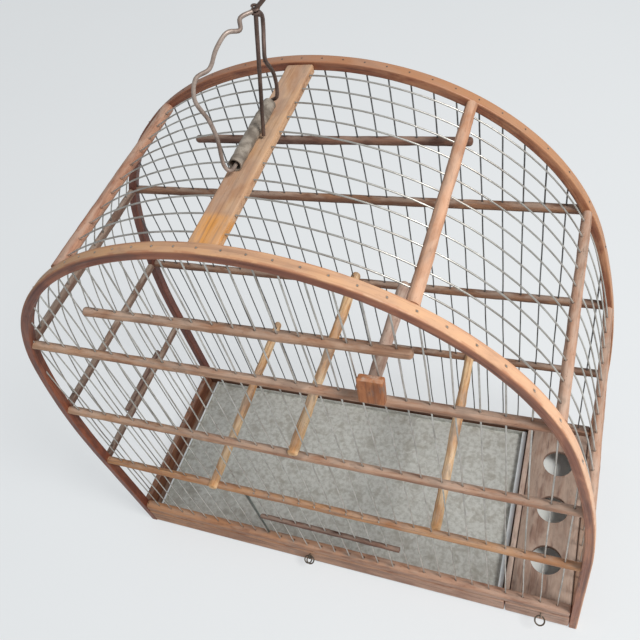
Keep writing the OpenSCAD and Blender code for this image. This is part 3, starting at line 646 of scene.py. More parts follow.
def depth_rail(name, node, side, x, z, radius, tilt, material, seed):
    shape = rod(Shape(), (side * x, STRIP_W / 2, z), (side * x, DEPTH - STRIP_W / 2, z), radius, seed,
                uneven=0.09, bend=0.3, knots=0.04,
                wires=(1, LOOP_PITCH, 0.0, (-side * math.sin(tilt), 0.0, math.cos(tilt))))
    shape.make(name, "cage", material, "rail_wood", node)


def lean_at(z):
    """Lean of the hoops at the height z."""
    if z < SPRING:
        return 0.0
    low = math.asin((z - SPRING) / (SIDE_R - HALF_T))
    return low if low < SIDE_A else math.asin((z - C2.y) / (SHOULDER_R - HALF_T))


for level, z, front_finish, number in (("low", LOW_Z, RAIL_LOW, 1.0), ("mid", MID_Z, RAIL, 2.0),
                                       ("high", HIGH_Z, RAIL, 3.0)):
    cross_rail(f"front_rod_{level}", f"front_rail_{level}", 0.0, z, FRONT_SHIFT, front_finish, 1.7 * number)
    cross_rail(f"back_rod_{level}", f"back_rail_{level}", DEPTH, z, BACK_SHIFT, RAIL_DARK, 2.9 * number)
    for side, label, finish in ((-1, "left", RAIL_LEFT), (1, "right", RAIL)):
        depth_rail(f"{label}_rod_{level}", f"{label}_rail_{level}", side, side_x(z), z, RAIL_R, lean_at(z),
                   finish, (4.0 + 0.3 * side) * number)

SHOULDER_A = math.radians(SHOULDER_DEG)
SHOULDER_AT = curve_at(C2, SHOULDER_R - HALF_T, SHOULDER_A)
for side, label, radius, finish, seed in ((-1, "left", 5.0, SHOULDER_LEFT, 21.0),
                                          (1, "right", 4.5, SHOULDER_RIGHT, 22.0)):
    depth_rail(f"{label}_shoulder_rod", f"{label}_shoulder_rail", side, SHOULDER_AT.x, SHOULDER_AT.y, radius,
               SHOULDER_A, finish, seed)

# ---------------- spreaders
FRONT_SPREADER_X, FRONT_SPREADER_Z = (-111.5, 113.5), 394.5
BACK_SPREADER_X, BACK_SPREADER_Z = (-103.5, 114.5), 399.0
SPREADER_R, SPREADER_END = 3.75, 0.7
for label, ends, y, z, shift, finish, seed in (
        ("front", FRONT_SPREADER_X, 0.0, FRONT_SPREADER_Z, FRONT_SHIFT, TAN_WOOD, 31.0),
        ("back", BACK_SPREADER_X, DEPTH, BACK_SPREADER_Z, BACK_SHIFT, DARK_WOOD, 32.0)):
    shape = rod(Shape(), (ends[0] - SPREADER_R, y, z), (ends[1] + SPREADER_R, y, z), SPREADER_R, seed,
                uneven=0.1, bend=0.6, ends=(SPREADER_END, SPREADER_END), knots=0.05,
                wires=(0, PITCH, shift, (0, 0, 1)))
    shape.make(f"{label}_spreader_rod", "cage", finish, "rail_wood", f"{label}_spreader")
SIDE_SPREADER_R, SIDE_SPREADER_Y = 3.0, (57.0, 131.0)
side_z = LOW_Z + RAIL_R + SIDE_SPREADER_R + 2
rod(Shape(), (-side_x(LOW_Z), SIDE_SPREADER_Y[0] - SIDE_SPREADER_R, side_z),
    (-side_x(LOW_Z), SIDE_SPREADER_Y[1] + SIDE_SPREADER_R, side_z), SIDE_SPREADER_R, 33.0, uneven=0.12,
    bend=0.4, ends=(SPREADER_END, SPREADER_END), knots=0.05, wires=(1, LOOP_PITCH, 0.0, (0, 0, 1))).make(
    "side_spreader_rod", "cage", DARK_WOOD, "dark_wood", "side_spreader")

# ---------------- ridge plank
RIDGE_W, RIDGE_SHIFT, RIDGE_T, RIDGE_DROP = 19.8, 3.2, 6.5, 1.9
RIDGE_TOP = CROWN - RIDGE_DROP
ridge_left = -(RIDGE_W / 2 - RIDGE_SHIFT)
board(Shape(), (ridge_left, STRIP_W / 2, RIDGE_TOP - RIDGE_T),
      (ridge_left + RIDGE_W, DEPTH - STRIP_W / 2, RIDGE_TOP), 1, corner=1.3, seed=41.0, uneven=0.45).make(
    "ridge_board", "cage", RIDGE, "ridge_wood", "ridge_plank")

# ---------------- base
FRONT_Y, BACK_Y = -STRIP_W / 2, DEPTH - STRIP_W / 2
DIVIDER_X, DIVIDER_T = 165.5, 5.0
FASCIA_TOP = BASE_H - FRONT_RAIL_H - 0.8
FASCIA_GAP, FASCIA_PLAY, FASCIA_T = 2.0, 0.35, 8.0
board(Shape(), (-INNER_X, FRONT_Y, BASE_H - FRONT_RAIL_H), (INNER_X, -FRONT_Y, BASE_H), 0, corner=2.6,
      step=1.6, cross=2.0, seed=51.0, uneven=0.15, dips=(PITCH, FRONT_SHIFT, 3.0)).make(
    "base_front_strip", "cage", BASE, "base_wood", "base_front_rail")
board(Shape(), (-INNER_X, BACK_Y, 0.0), (INNER_X, DEPTH + STRIP_W / 2, BASE_H), 0, corner=1.0, step=3.0,
      cross=4.0, seed=52.0, dips=(PITCH, BACK_SHIFT, 16.0)).make(
    "base_back_plank", "cage", BOARD, "base_wood", "base_back_board")
for side, label, finish in ((-1, "left", LEFT_BOARD), (1, "right", BOARD)):
    x0, x1 = sorted((side * INNER_X, side * HALF_WIDTH))
    board(Shape(), (x0, STRIP_W / 2, 0.0), (x1, BACK_Y, SIDE_H), 1, corner=1.0, cross=4.0,
          seed=53.0 + side).make(f"base_{label}_plank", "cage", finish, "base_wood", f"base_{label}_board")
UNDER_GAP, DIVIDER_OVER = 1.0, 6.0
board(Shape(), (DIVIDER_X, STRIP_W / 2, UNDER_GAP),
      (DIVIDER_X + DIVIDER_T, BACK_Y, FASCIA_TOP + DIVIDER_OVER), 1, seed=55.0).make(
    "divider_plank", "cage", DIVIDER_WOOD, "board_wood", "divider_board")

RUNNER_H, TRAY_FLOOR, SLIDE_PLAY = 4.0, 17.2, 0.1
TRAY_RUNNER_W, DRAWER_RUNNER_W, DRAWER_RUNNER_H = 8.0, 5.0, 3.0
battens = Shape()
runner_z = TRAY_FLOOR - SLIDE_PLAY - RUNNER_H
for x, w, z, h in ((-INNER_X, 2 * TRAY_RUNNER_W, runner_z, RUNNER_H),
                   (DIVIDER_X - TRAY_RUNNER_W, TRAY_RUNNER_W, runner_z, RUNNER_H),
                   (DIVIDER_X + DIVIDER_T, DRAWER_RUNNER_W, UNDER_GAP, DRAWER_RUNNER_H),
                   (INNER_X - DRAWER_RUNNER_W, DRAWER_RUNNER_W, UNDER_GAP, DRAWER_RUNNER_H)):
    board(battens, (x, STRIP_W / 2, z), (x + w, BACK_Y, z + h), 1, corner=0.5, seed=56.0 + x)
battens.make("runner_battens", "cage", BOARD, "board_wood", "runners")


def from_cad(node, name, body, material, slot, bevel):
    """The CAD node's own shape, with its long edges rounded and its grain along Y."""
    work = bmesh.new()
    work.from_mesh(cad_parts[node].data)
    bmesh.ops.remove_doubles(work, verts=work.verts, dist=1e-6)
    bmesh.ops.dissolve_limit(work, angle_limit=math.radians(0.5), verts=work.verts, edges=work.edges)
    sharp = [e for e in work.edges if len(e.link_faces) == 2 and e.calc_face_angle() > 0.9]
    bmesh.ops.bevel(work, geom=sharp, offset=bevel * MM, segments=2, affect="EDGES", profile=0.5)
    shape = Shape()
    for v in work.verts:
        co = v.co / MM + ORIGIN
        shape.vertex(co, (co.y, co.x, co.z))
    work.verts.index_update()
    shape.faces = [tuple(v.index for v in f.verts) for f in work.faces]
    work.free()
    shape.make(name, body, material, slot, node)


from_cad("feeder_board", "feeder_plank", "cage", FEEDER, "board_wood", 0.6)

# sheet-metal post beside the gate
POST_X, POST_HALF_W, POST_Y = fx(GATE_FIRST - 1), 2.3, (WIRE_R + 0.3, WIRE_R + 1.2)
board(Shape(), (POST_X - POST_HALF_W, POST_Y[0], BASE_H),
      (POST_X + POST_HALF_W, POST_Y[1], LOW_Z - RAIL_R + 0.2), 2, corner=0.4, step=5.0, seed=57.0,
      uneven=0.1).make(
    "gate_post_strip", "cage", POST, "zinc_sheet", "gate_post")


# ---------------- wires
UPRIGHT_WAVE, HOOP_WAVE, GATE_WAVE = (0.7, 0.7), (0.3, 0.6), (0.5, 0.5)
WIRE_UNEVEN, HELD_REACH, WIRE_OVER, UPRIGHT_STEP = 0.06, 18.0, 0.1, 12.0


def wavy(points, wave, seeds, held_at, stretch):
    """Moves a wire's points aside by up to wave in X and Y, least near the heights where it is held. stretch
    is about how long one wave is."""
    made = []
    for p in points:
        p = Vector(p)
        held = min([1.0] + [abs(p.z - z) / HELD_REACH for z in held_at])
        aside = Vector((wave[0] * wobble(p, stretch, seeds[0]), wave[1] * wobble(p, stretch, seeds[1]), 0.0))
        made.append(p + aside * held)
    return made


def grille(name, node, numbers, place, y, z0, material, seed):
    """Upright wires from z0 to the outside of an arch, at the places with these numbers."""
    shape = Shape()
    for i in numbers:
        own, z1 = seed + 1.3 * i, strip_z(place(i)) + WIRE_OVER
        points = [(place(i), y, z) for z in spaced(z0, z1, UPRIGHT_STEP)]
        points = wavy(points, UPRIGHT_WAVE, (own, own + 5), (z0, LOW_Z, MID_Z, HIGH_Z, z1), 60.0)
        tube(shape, points, WIRE_R, own, WIRE_UNEVEN)
    shape.make(name, "cage", material, "wire_steel", node)


SEAT = 4.8
for label, numbers, z0, seed in (("left", range(-FRONT_N, GATE_FIRST), BASE_H - SEAT, 61.0),
                                 ("middle", range(GATE_FIRST, GATE_LAST + 1), LOW_Z - RAIL_R, 62.0),
                                 ("right", range(GATE_LAST + 1, FRONT_N + 1), BASE_H - SEAT, 63.0)):
    grille(f"front_grille_{label}", f"front_wires_{label}", numbers, fx, 0.0, z0, WIRE, seed)
# the back wires take the darker copy of the steel, as painted shade
grille("back_grille", "back_wires", range(-FRONT_N, FRONT_N + 1), bx, DEPTH, BASE_H - SEAT, SHADED_WIRE, 64.0)


HOOP_STEP, FOOT_STEP, GATE_STEP = 8.0, 10.0, 9.0
# angle left out where two curves of a hoop meet, and how deep its end sits in the ridge plank
LAP_A, RIDGE_SEAT = 0.03, 3.0


def hoop(stretch, side):
    """Points in the XZ plane along one stretch of a hoop, on one side."""
    path = []
    for centre, radius, a0, a1 in stretch:
        for a in spaced(a0, a1, HOOP_STEP / radius):
            p = curve_at(centre, radius, a)
            path.append((side * p.x, p.y))
    return path


MID_R = {"side": SIDE_R - HALF_T, "shoulder": SHOULDER_R - HALF_T, "crown": CROWN_R - HALF_T}
for side, label in ((-1, "left"), (1, "right")):
    edge = RIDGE_W / 2 + side * RIDGE_SHIFT
    foot = [(side * (HALF_WIDTH - HALF_T), z) for z in spaced(SIDE_H - SEAT, SPRING, FOOT_STEP)[:-1]]
    paths = {
        "side": foot + hoop([(C1, MID_R["side"], 0.0, SIDE_A),
                             (C2, MID_R["shoulder"], SIDE_A + LAP_A, HIGH_A)], side),
        "shoulder": hoop([(C2, MID_R["shoulder"], HIGH_A, CROWN_A)], side),
        "roof": hoop([(C3, MID_R["crown"], CROWN_A, math.acos((edge - RIDGE_SEAT) / MID_R["crown"]))], side),
    }
    for part, path in paths.items():
        shape = Shape()
        held_at = (path[0][1], LOW_Z, MID_Z, HIGH_Z, path[-1][1])
        for k in range(1, HOOPS + 1):
            seed = 71.0 + 3 * k + side
            points = [(x, LOOP_PITCH * k, z) for x, z in path]
            tube(shape, wavy(points, HOOP_WAVE, (seed, seed + 4), held_at, 50.0), WIRE_R, seed, WIRE_UNEVEN)
        shape.make(f"{label}_{part}_grille", "cage", WIRE, "wire_steel", f"{label}_{part}_wires")

# ---------------- perches
PERCH_R, PERCH_RISE = 5.25, 3.5
for name, node, a, b, z, seed in (
        ("perch_left_rod", "perch_left", (fx(-7) + 2, -6.0), (bx(-7) - 2, DEPTH + 11), LOW_Z, 81.0),
        ("perch_middle_rod", "perch_middle", (fx(0) + 2.2, -2.5), (bx(0) + 0.4, DEPTH + 8), MID_Z, 82.0),
        ("perch_right_rod", "perch_right", (fx(7) + 2.6, 2.0), (bx(7) - 1.4, DEPTH + 2), LOW_Z, 83.0)):
    rod(Shape(), (*a, z + PERCH_RISE), (*b, z + PERCH_RISE), PERCH_R, seed, sides=24, uneven=0.14, bend=1.0,
        ends=(0.35, 0.8), knots=0.09).make(name, "cage", PERCH, "perch_wood", node)

# ---------------- floor tray
SHEET = 0.8
TRAY_GAP_LEFT, TRAY_GAP_RIGHT = 10.0, 1.5
TRAY_LEFT, TRAY_RIGHT = -INNER_X + TRAY_GAP_LEFT, DIVIDER_X - TRAY_GAP_RIGHT
TRAY_FRONT, TRAY_BACK = STRIP_W / 2 - 1, BACK_Y - 2
RIM_H, ROLL_W = 7.0, 4.5
DENT, DENT_EDGE, RIM_OVER = 0.45, 20, 0.05


def tray_pan():
    """Sheet-metal floor with dents, upturned rims, a folded left rim and a broad rolled right one."""
    top = TRAY_FLOOR + RIM_H
    floor = TRAY_FLOOR + SHEET
    # up and over the folded left rim, along the floor, round the rolled right rim and back underneath
    section = [(TRAY_LEFT, TRAY_FLOOR), (TRAY_LEFT, top - 0.5), (TRAY_LEFT + 0.4, top),
               (TRAY_LEFT + 1.6, top - 0.2), (TRAY_LEFT + 1.9, top - 1.0), (TRAY_LEFT + SHEET, top - 1.4),
               (TRAY_LEFT + SHEET, floor + 0.4)]
    section += [(x, floor) for x in spaced(TRAY_LEFT + SHEET + 0.6, TRAY_RIGHT - SHEET - 0.6, 5.0)]
    section += [(TRAY_RIGHT - SHEET, floor + 0.4), (TRAY_RIGHT - SHEET, top - 2.2)]
    roll, half = 1.3, ROLL_W / 2
    for i in range(9):
        a = math.radians(-60 - 37 * i)
        section.append((TRAY_RIGHT - half + half * math.cos(a), top - roll + roll * math.sin(a)))
    section += [(TRAY_RIGHT, top - roll), (TRAY_RIGHT, TRAY_FLOOR)]
    section += [(x, TRAY_FLOOR) for x in spaced(TRAY_RIGHT, TRAY_LEFT, 5.0)[1:-1]]
    shape = Shape()
    made = []
    for y in spaced(TRAY_FRONT, TRAY_BACK, 5.0):
        ring = []
        for x, z in section:
            dent = 0.0
            if abs(z - floor) < 0.1:
                edge = min(1.0, min(x - TRAY_LEFT, TRAY_RIGHT - x, y - TRAY_FRONT, TRAY_BACK - y) / DENT_EDGE)
                dent = DENT * max(0.0, edge) * (1 + wobble((x, y, 0), 38.0, 91.0))
            ring.append(shape.vertex((x, y, z + dent), (x, y, z)))
        made.append(ring)
    shape.rings(made)
    for y in (TRAY_FRONT, TRAY_BACK - SHEET):
        board(shape, (TRAY_LEFT, y, TRAY_FLOOR), (TRAY_RIGHT, y + SHEET, top), 0, corner=0.35, seed=92.0,
              uneven=0.05)
    shape.make("tray_sheet", "tray", ZINC, "zinc_sheet", "tray_pan")
    # near-white strips over both rims, a painted highlight of the zinc
    for label, x0, x1, low in (("left", TRAY_LEFT - RIM_OVER, TRAY_LEFT + 2.0, top - 1.2),
                               ("right", TRAY_RIGHT - ROLL_W, TRAY_RIGHT + RIM_OVER, top - 1.7)):
        rim = board(Shape(), (x0, TRAY_FRONT - RIM_OVER, low), (x1, TRAY_BACK + RIM_OVER, top + 0.1), 1,
                    corner=0.55, step=2.0, cross=1.2, seed=95.0 + x0, uneven=0.25)
        rim.make(f"tray_rim_{label}", "tray", RIM_HIGHLIGHT, "zinc_sheet")


def fascia(label, x0, x1, seed):
    """Wooden front of the tray or the drawer, between the two places in X."""
    shape = board(Shape(), (x0 + FASCIA_PLAY, FRONT_Y, FASCIA_GAP),
                  (x1 - FASCIA_PLAY, FRONT_Y + FASCIA_T, FASCIA_TOP), 0, corner=1.3, step=3.0, seed=seed)
    shape.make(f"{label}_fascia", label, BASE, "base_wood", f"{label}_front")


SPLIT_X = DIVIDER_X + 2
tray_pan()
fascia("tray", -INNER_X, SPLIT_X, 93.0)

# ---------------- seed drawer
fascia("drawer", SPLIT_X, INNER_X, 94.0)
from_cad("drawer_pan", "drawer_sheet", "drawer", PALE, "pale_sheet", 0.3)


# ---------------- staples and rings
RING_WIRE_R, STAPLE_R, STAPLE_Z, STAPLE_OUT, STAPLE_IN = 0.75, 0.6, 19.0, 2.2, 3.0
RING_TILT = math.radians(68)
TRAY_RING_X, DRAWER_RING_X = -27.0, DIVIDER_X + 34


def staple(name, node, body, x, h):
    """A bent wire in the wooden front. h is the half height of its bow."""
    out, back = FRONT_Y - STAPLE_OUT, FRONT_Y + STAPLE_IN
    legs = spaced(out, back, 0.8)[1:]
    points = [(x, y, STAPLE_Z - h) for y in reversed(legs)]
    points += [(x, out - h * math.sin(a), STAPLE_Z - h * math.cos(a)) for a in spaced(0.0, math.pi, 0.26)]
    points += [(x, y, STAPLE_Z + h) for y in legs]
    tube(Shape(), points, STAPLE_R, 101.0, 0.12).make(name, body, RING, "ring_steel", node)


def pull_ring(name, node, body, x, d, lift, turn, seed):
    """A ring of bent wire that hangs from its staple, its ends not quite meeting."""
    pivot = Vector((x, FRONT_Y - STAPLE_OUT, STAPLE_Z))
    tilt = Matrix.Rotation(-RING_TILT, 3, "X")
    swing = Matrix.Rotation(math.radians(turn), 3, "Y")
    points = []
    for a in spaced(0.35, 2 * math.pi + 0.2, 0.16):
        flat = Vector((d / 2 * math.sin(a), 0.12 * (a - math.pi) / math.pi, d / 2 * math.cos(a) - d / 2))
        points.append(pivot + tilt @ (Vector((0.0, lift, 0.0)) + swing @ flat))
    tube(Shape(), points, RING_WIRE_R, seed, 0.1).make(name, body, RING, "ring_steel", node)


TRAY_STAPLE_H = 2 * RING_WIRE_R + STAPLE_R + 0.3
DRAWER_STAPLE_H = RING_WIRE_R + STAPLE_R + 0.35
staple("tray_ring_staple", "tray_staple", "tray", TRAY_RING_X, TRAY_STAPLE_H)
staple("drawer_ring_staple", "drawer_staple", "drawer", DRAWER_RING_X, DRAWER_STAPLE_H)
TRAY_RING_D, DRAWER_RING_D, RING_TURN = 7.4, 8.4, 24
for side, label, seed in ((1, "left", 102.0), (-1, "right", 103.0)):
    pull_ring(f"tray_pull_{label}", f"tray_ring_{label}", "tray_rings", TRAY_RING_X, TRAY_RING_D,
              side * (RING_WIRE_R + 0.08), side * RING_TURN, seed)
pull_ring("drawer_pull_ring", "drawer_ring", "drawer_pull", DRAWER_RING_X, DRAWER_RING_D, 0.0, 0, 104.0)

# ---------------- gate
BAR_R, BAR_OVER = 3.0, (5.0, 12.0)
BAR_Z = (90.0, 86.6)
rod(Shape(), (fx(GATE_FIRST) - BAR_OVER[0] - BAR_R, -GATE_OUT, BAR_Z[0]),
    (fx(GATE_LAST) + BAR_OVER[1], -GATE_OUT, BAR_Z[1]), BAR_R, 111.0, uneven=0.14, bend=0.4, ends=(0.7, 0.3),
    knots=0.06, wires=(0, PITCH, FRONT_SHIFT, (0, 0, 1))).make(
    "gate_bar_rod", "gate", DARK_WOOD, "dark_wood", "gate_bar")
gate = Shape()
for i in range(GATE_FIRST, GATE_LAST + 1):
    seed = 112.0 + i
    points = [(fx(i), -GATE_OUT, z) for z in spaced(BASE_H - 3, LOW_Z + RAIL_R + 1, GATE_STEP)]
    points = wavy(points, GATE_WAVE, (seed, seed + 5), (BASE_H, BAR_Z[0], LOW_Z), 60.0)
    tube(gate, points, WIRE_R, seed, WIRE_UNEVEN)
gate.make("gate_grille", "gate", WIRE, "wire_steel", "gate_wires")

# ---------------- plug perch
PLUG_R, PLUG_LENGTH, PLUG_IN = 4.9, 95.0, 6.0
PLUG_WIRE_X, PLUG_GAP = fx(5), 0.3
PLUG_X, PLUG_Z = PLUG_WIRE_X + WIRE_R + PLUG_GAP, HIGH_Z + RAIL_R + PLUG_GAP
BLOCK_W, BLOCK_L, BLOCK_H, NECK_L = 17.3, 6.6, 19.6, 4.4
BLOCK_LEAN, BLOCK_SHIFT, BLOCK_OVER, PLUG_RISE, NECK_IN = math.radians(12), 1.8, 7.8, 10.5, 6.0
NECK_H = PLUG_RISE + PLUG_R + 1.6
NECK_W = PITCH - 2 * (WIRE_R + PLUG_GAP)
plug_root = Vector((PLUG_WIRE_X + 9.1, NECK_L - 1, PLUG_Z + PLUG_RISE))
plug_way = Vector((-3, 90, -12)).normalized()
rod(Shape(), plug_root - plug_way * PLUG_IN, plug_root + plug_way * PLUG_LENGTH, PLUG_R, 121.0, sides=24,
    uneven=0.1, bend=0.2, ends=(0.0, 0.7), knots=0.04).make(
    "plug_rod", "plug_perch", PLUG_WOOD, "perch_wood", "plug_perch_rod")
block = Shape()
board(block, (0.0, -BLOCK_L, -BLOCK_H), (BLOCK_W, 0.0, 0.0), 2, corner=1.1, step=1.3, cross=1.3, seed=122.0,
      uneven=0.45)
lean = (Matrix.Translation((PLUG_X + BLOCK_SHIFT, -WIRE_R - PLUG_GAP, PLUG_Z + NECK_H + BLOCK_OVER))
        @ Matrix.Rotation(-BLOCK_LEAN, 4, "X"))
block.co = [lean @ co for co in block.co]
board(block, (PLUG_X, -NECK_IN, PLUG_Z), (PLUG_X + NECK_W, NECK_L - 0.9, PLUG_Z + NECK_H), 2, corner=0.6,
      step=2.0, cross=1.6, seed=123.0, uneven=0.2)
block.make("plug_block", "plug_perch", BLOCK, "perch_wood", "plug_perch_block")

# ---------------- hanger
HANGER_R = 1.35
BARREL_R, BARREL_L, BARREL_SHEET = 4.8, 62.0, 0.75
BARREL_AT = Vector((0.5, 67.0, RIDGE_TOP + BARREL_R))


def barrel():
    """Rolled sheet whose outer edge laps over itself, open in front."""
    section = []
    turns = [math.radians(a) for a in range(-110, 262, 12)]
    for a in turns:
        section.append((BARREL_R * 0.985 - 0.08 * (a - turns[0]), a))
    section += [(r - BARREL_SHEET, a) for r, a in reversed(section)]
    shape = Shape()
    made = []
    for s in spaced(0.0, BARREL_L, 1.2):
        ring = []
        for r, a in section:
            crease = wobble((s, 8 * math.cos(a), 8 * math.sin(a)), 5.0, 131.0)
            worn = 1 - 0.04 - 0.07 * max(-1.0, min(1.0, 1.8 * crease))
            ring.append(shape.vertex(BARREL_AT + Vector((r * worn * math.cos(a), s, r * worn * math.sin(a))),
                                     (s, r * math.cos(a), r * math.sin(a))))
        made.append(ring)
    shape.rings(made)
    shape.make("barrel_roll", "cage", BARREL, "hanger_steel", "hanger_barrel")


barrel()
STEM_START = Vector((BARREL_R + HANGER_R + 0.35, 32.0, HANGER_R + 1.2 - BARREL_R))
KNOT = Vector((24.0, 33.0, 78.0))
HOOK_R = 9.0 + HANGER_R
HOOK_LEAN, HOOK_ARC, NECK_RUN = math.radians(50), math.radians(215), 12
COIL_TURNS, COIL_LOW, COIL_LENGTH, COIL_R, COIL_WIRE_R = 2.6, -3.2, 5.4, 1.75, 0.85
FRONT_BAIL = [(0, 31, 0), (0, 12, 0), (0, -4.5, 0), (-3, -6.5, 5.5), (-2, -5, 22), (-3, -5, 35.5),
              (-5, -8, 50.5), (-3, -3, 60.5), (3, 4, 62), (7, 10, 69.5), (12, 17, 74.5), (17, 23, 72.5),
              (17.5, 26, 77.5)]
BACK_BAIL = [(0, 31, 0), (0, 48, 0), (0, 64.5, 0), (5, 65, 3), (7, 65, 11), (9, 62, 20), (13, 53, 30.5),
             (17.5, 40.5, 43), (19, 39, 50), (19, 46, 61.5), (21.5, 43, 69.5)]


def bail(name, node, points, material, seed):
    end = Vector(points[-1])
    reach = (KNOT - end).length
    stop = end + (KNOT - end) * (1 - (HANGER_R + 0.6) / reach)
    path = [p + BARREL_AT for p in smooth_path(points + [tuple(stop)], 6)]
    tube(Shape(), path, HANGER_R, seed, 0.16, sides=14).make(name, "hanger", material, "hanger_steel", node)


bail("bail_front_wire", "hanger_bail_front", FRONT_BAIL, HANGER, 141.0)
bail("bail_back_wire", "hanger_bail_back", BACK_BAIL, STEM, 142.0)


def stem():
    """Straight stem, three turns of wire at the knot, and the open hook above it."""
    shape = Shape()
    lean = HOOK_LEAN
    up = Vector((math.sin(lean), 0, math.cos(lean)))
    neck = KNOT + up * NECK_RUN
    centre = neck + Vector((-HOOK_R * math.cos(lean), 0, HOOK_R * math.sin(lean)))
    hook = []
    for a in spaced(0.0, HOOK_ARC, 0.14):
        turn = a - lean
        hook.append(centre + HOOK_R * Vector((math.cos(turn), 0.0, math.sin(turn))))
    shaft = [STEM_START.lerp(KNOT, t) for t in spaced(0.0, 1.0, 0.05)]
    neck_run = [KNOT.lerp(neck, t) for t in spaced(0.0, 1.0, 0.25)][1:-1]
    tube(shape, [p + BARREL_AT for p in shaft + neck_run + hook], HANGER_R, 143.0, 0.14, sides=14)
    way = (KNOT - STEM_START).normalized()
    u, v = frames([STEM_START, KNOT])[0]
    coil = []
    whole = 2 * math.pi * COIL_TURNS
    for a in spaced(0.0, whole, 0.35):
        rise = COIL_LOW + COIL_LENGTH * a / whole
        coil.append(KNOT + BARREL_AT + way * rise + COIL_R * (u * math.cos(a) + v * math.sin(a)))
    tube(shape, coil, COIL_WIRE_R, 144.0, 0.1, sides=8)
    shape.make("hanger_stem_wire", "hanger", STEM, "hanger_steel", "hanger_stem")


stem()


# ---------------- nails
NAIL_R, NAIL_SIDES, NAIL_SINK = 0.9, 10, 0.25
# height over the surface and share of the radius, from the root to the top of a nail head
NAIL_LEVELS = ((-0.3, 1.0), (0.05, 1.0), (0.16, 0.8), (0.22, 0.4))


def nails(name, body, material, places):
    """Small hammered nail heads; each place is (point, outward direction)."""
    shape = Shape()
    for point, way in places:
        point, way = Vector(point), Vector(way).normalized()
        u, v = frames([point, point + way])[0]
        made = []
        for lift, size in NAIL_LEVELS:
            ring = []
            for j in range(NAIL_SIDES):
                a = 2 * math.pi * j / NAIL_SIDES
                edge = NAIL_R * size * (u * math.cos(a) + v * math.sin(a))
                ring.append(shape.vertex(point + way * lift + edge, (lift, a, size)))
            made.append(ring)
        shape.rings(made)
    shape.make(name, body, material, "ring_steel")


# height of each nail in an arch's foot, and how far it is off the middle of the strip
FOOT_NAILS = ((6.0, -1.3), (14.0, 1.2), (29.0, -0.4), (33.5, 1.4))
SIDE_NAILS_Y, SIDE_NAILS_Z = (9.0, BACK_Y - 5.0), (8.0, 25.0)
front_feet, back_feet, side_feet = [], [], []
for s in (-1, 1):
    for z, off in FOOT_NAILS:
        x = s * (HALF_WIDTH - HALF_T + off)
        front_feet.append(((x, FRONT_Y + NAIL_SINK, z), (0, -1, 0)))
        back_feet.append(((x, DEPTH + STRIP_W / 2 - NAIL_SINK, z), (0, 1, 0)))
    for y in SIDE_NAILS_Y:
        side_feet += [((s * (HALF_WIDTH - NAIL_SINK), y, z), (s, 0, 0)) for z in SIDE_NAILS_Z]
nails("corner_nails", "cage", RING, front_feet + back_feet + side_feet)


# ---------------- floor, light and camera
# the floor lies a little under the cage, and the camera sees part of it as evenly lit
FLOOR_HALF, FLOOR_DROP, FLOOR_GLOW = 6.0, 0.0003, 0.62


def pale_floor():
    n = Nodes.surface("pale floor")
    at = n.add("ShaderNodeTexCoord").outputs["Object"]
    tone = n.noise(at, 3.0, 3.0)
    n.link(n.mix(tone, linear(226, 230, 233), linear(236, 239, 241)), n.shader.inputs["Base Color"])
    n.shader.inputs["Roughness"].default_value = 0.7
    glow = n.add("ShaderNodeEmission")
    glow.inputs["Color"].default_value = (*linear(238, 241, 243), 1.0)
    glow.inputs["Strength"].default_value = 1.0
    ray = n.add("ShaderNodeLightPath").outputs["Is Camera Ray"]
    shown = n.blend(n.math("MULTIPLY", ray, FLOOR_GLOW), n.shader.outputs["BSDF"], glow.outputs[0])
    n.link(shown, n.out.inputs["Surface"])
    mesh = bpy.data.meshes.new("floor")
    corners = [(x * FLOOR_HALF, y * FLOOR_HALF, 0) for x, y in ((-1, -1), (1, -1), (1, 1), (-1, 1))]
    mesh.from_pydata(corners, [], [(0, 1, 2, 3)])
    mesh.materials.append(n.material)
    floor = bpy.data.objects.new("floor", mesh)
    floor.location.z = -FLOOR_DROP
    bpy.context.scene.collection.objects.link(floor)


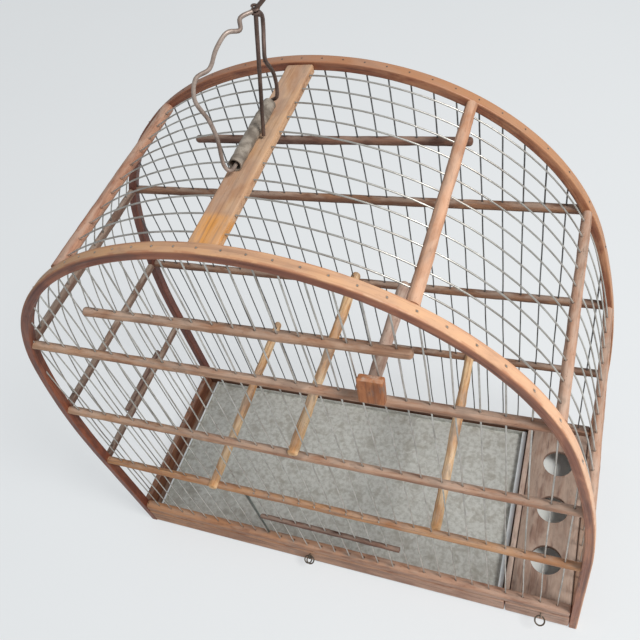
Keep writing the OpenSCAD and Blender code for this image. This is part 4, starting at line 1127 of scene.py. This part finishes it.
def world_light(strength):
    """Soft light from all round; the camera sees a pale room instead of it."""
    world = bpy.data.worlds.new("soft room")
    bpy.context.scene.world = world
    n = Nodes(world, "ShaderNodeOutputWorld")
    tones = []
    for colour, level in (((0.93, 0.97, 1.0, 1.0), strength), ((0.86, 0.88, 0.9, 1.0), 1.0)):
        tone = n.add("ShaderNodeBackground")
        tone.inputs["Color"].default_value = colour
        tone.inputs["Strength"].default_value = level
        tones.append(tone.outputs[0])
    path = n.add("ShaderNodeLightPath")
    seen = n.math("MAXIMUM", path.outputs["Is Camera Ray"], path.outputs["Is Transmission Ray"])
    n.link(n.blend(seen, *tones), n.out.inputs["Surface"])


def area_lamp(name, at, aim, size, power, colour):
    lamp = bpy.data.lights.new(name, "AREA")
    lamp.shape = "DISK"
    lamp.size, lamp.energy, lamp.color = size, power, colour
    thing = bpy.data.objects.new(name, lamp)
    bpy.context.scene.collection.objects.link(thing)
    thing.location = at
    thing.rotation_euler = (Vector(aim) - Vector(at)).to_track_quat("-Z", "Y").to_euler()


pale_floor()
world_light(0.36)
LAMP_AIM = (0.0, 0.1, 0.2)
area_lamp("key", (1.3, -0.35, 1.8), LAMP_AIM, 0.7, 34.0, (1.0, 0.98, 0.95))
area_lamp("fill", (-1.6, -1.2, 1.6), LAMP_AIM, 2.0, 3.0, (0.95, 0.98, 1.0))

# the photograph's camera: its place in millimetres, and its right, down and forward directions
CAMERA_AT = Vector((200.14, -228.43, 716.98))
CAMERA_RIGHT = Vector((0.9151, 0.32641, -0.23676))
CAMERA_DOWN = Vector((0.11275, -0.77085, -0.62696))
CAMERA_FORWARD = Vector((-0.38715, 0.54704, -0.7422))
FOCAL = 1.09084
SHIFT = (0.0602, 0.0075)
lens = bpy.data.cameras.new("camera")
lens.sensor_width = 36.0
lens.lens = FOCAL * lens.sensor_width
lens.shift_x, lens.shift_y = SHIFT
lens.clip_start, lens.clip_end = 0.02, 50.0
camera = bpy.data.objects.new("camera", lens)
turn = Matrix((CAMERA_RIGHT, -CAMERA_DOWN, -CAMERA_FORWARD)).transposed().to_4x4()
camera.matrix_world = Matrix.Translation((CAMERA_AT - ORIGIN) * MM) @ turn
bpy.context.scene.collection.objects.link(camera)
bpy.context.scene.camera = camera
bpy.context.scene.view_settings.view_transform = "Standard"
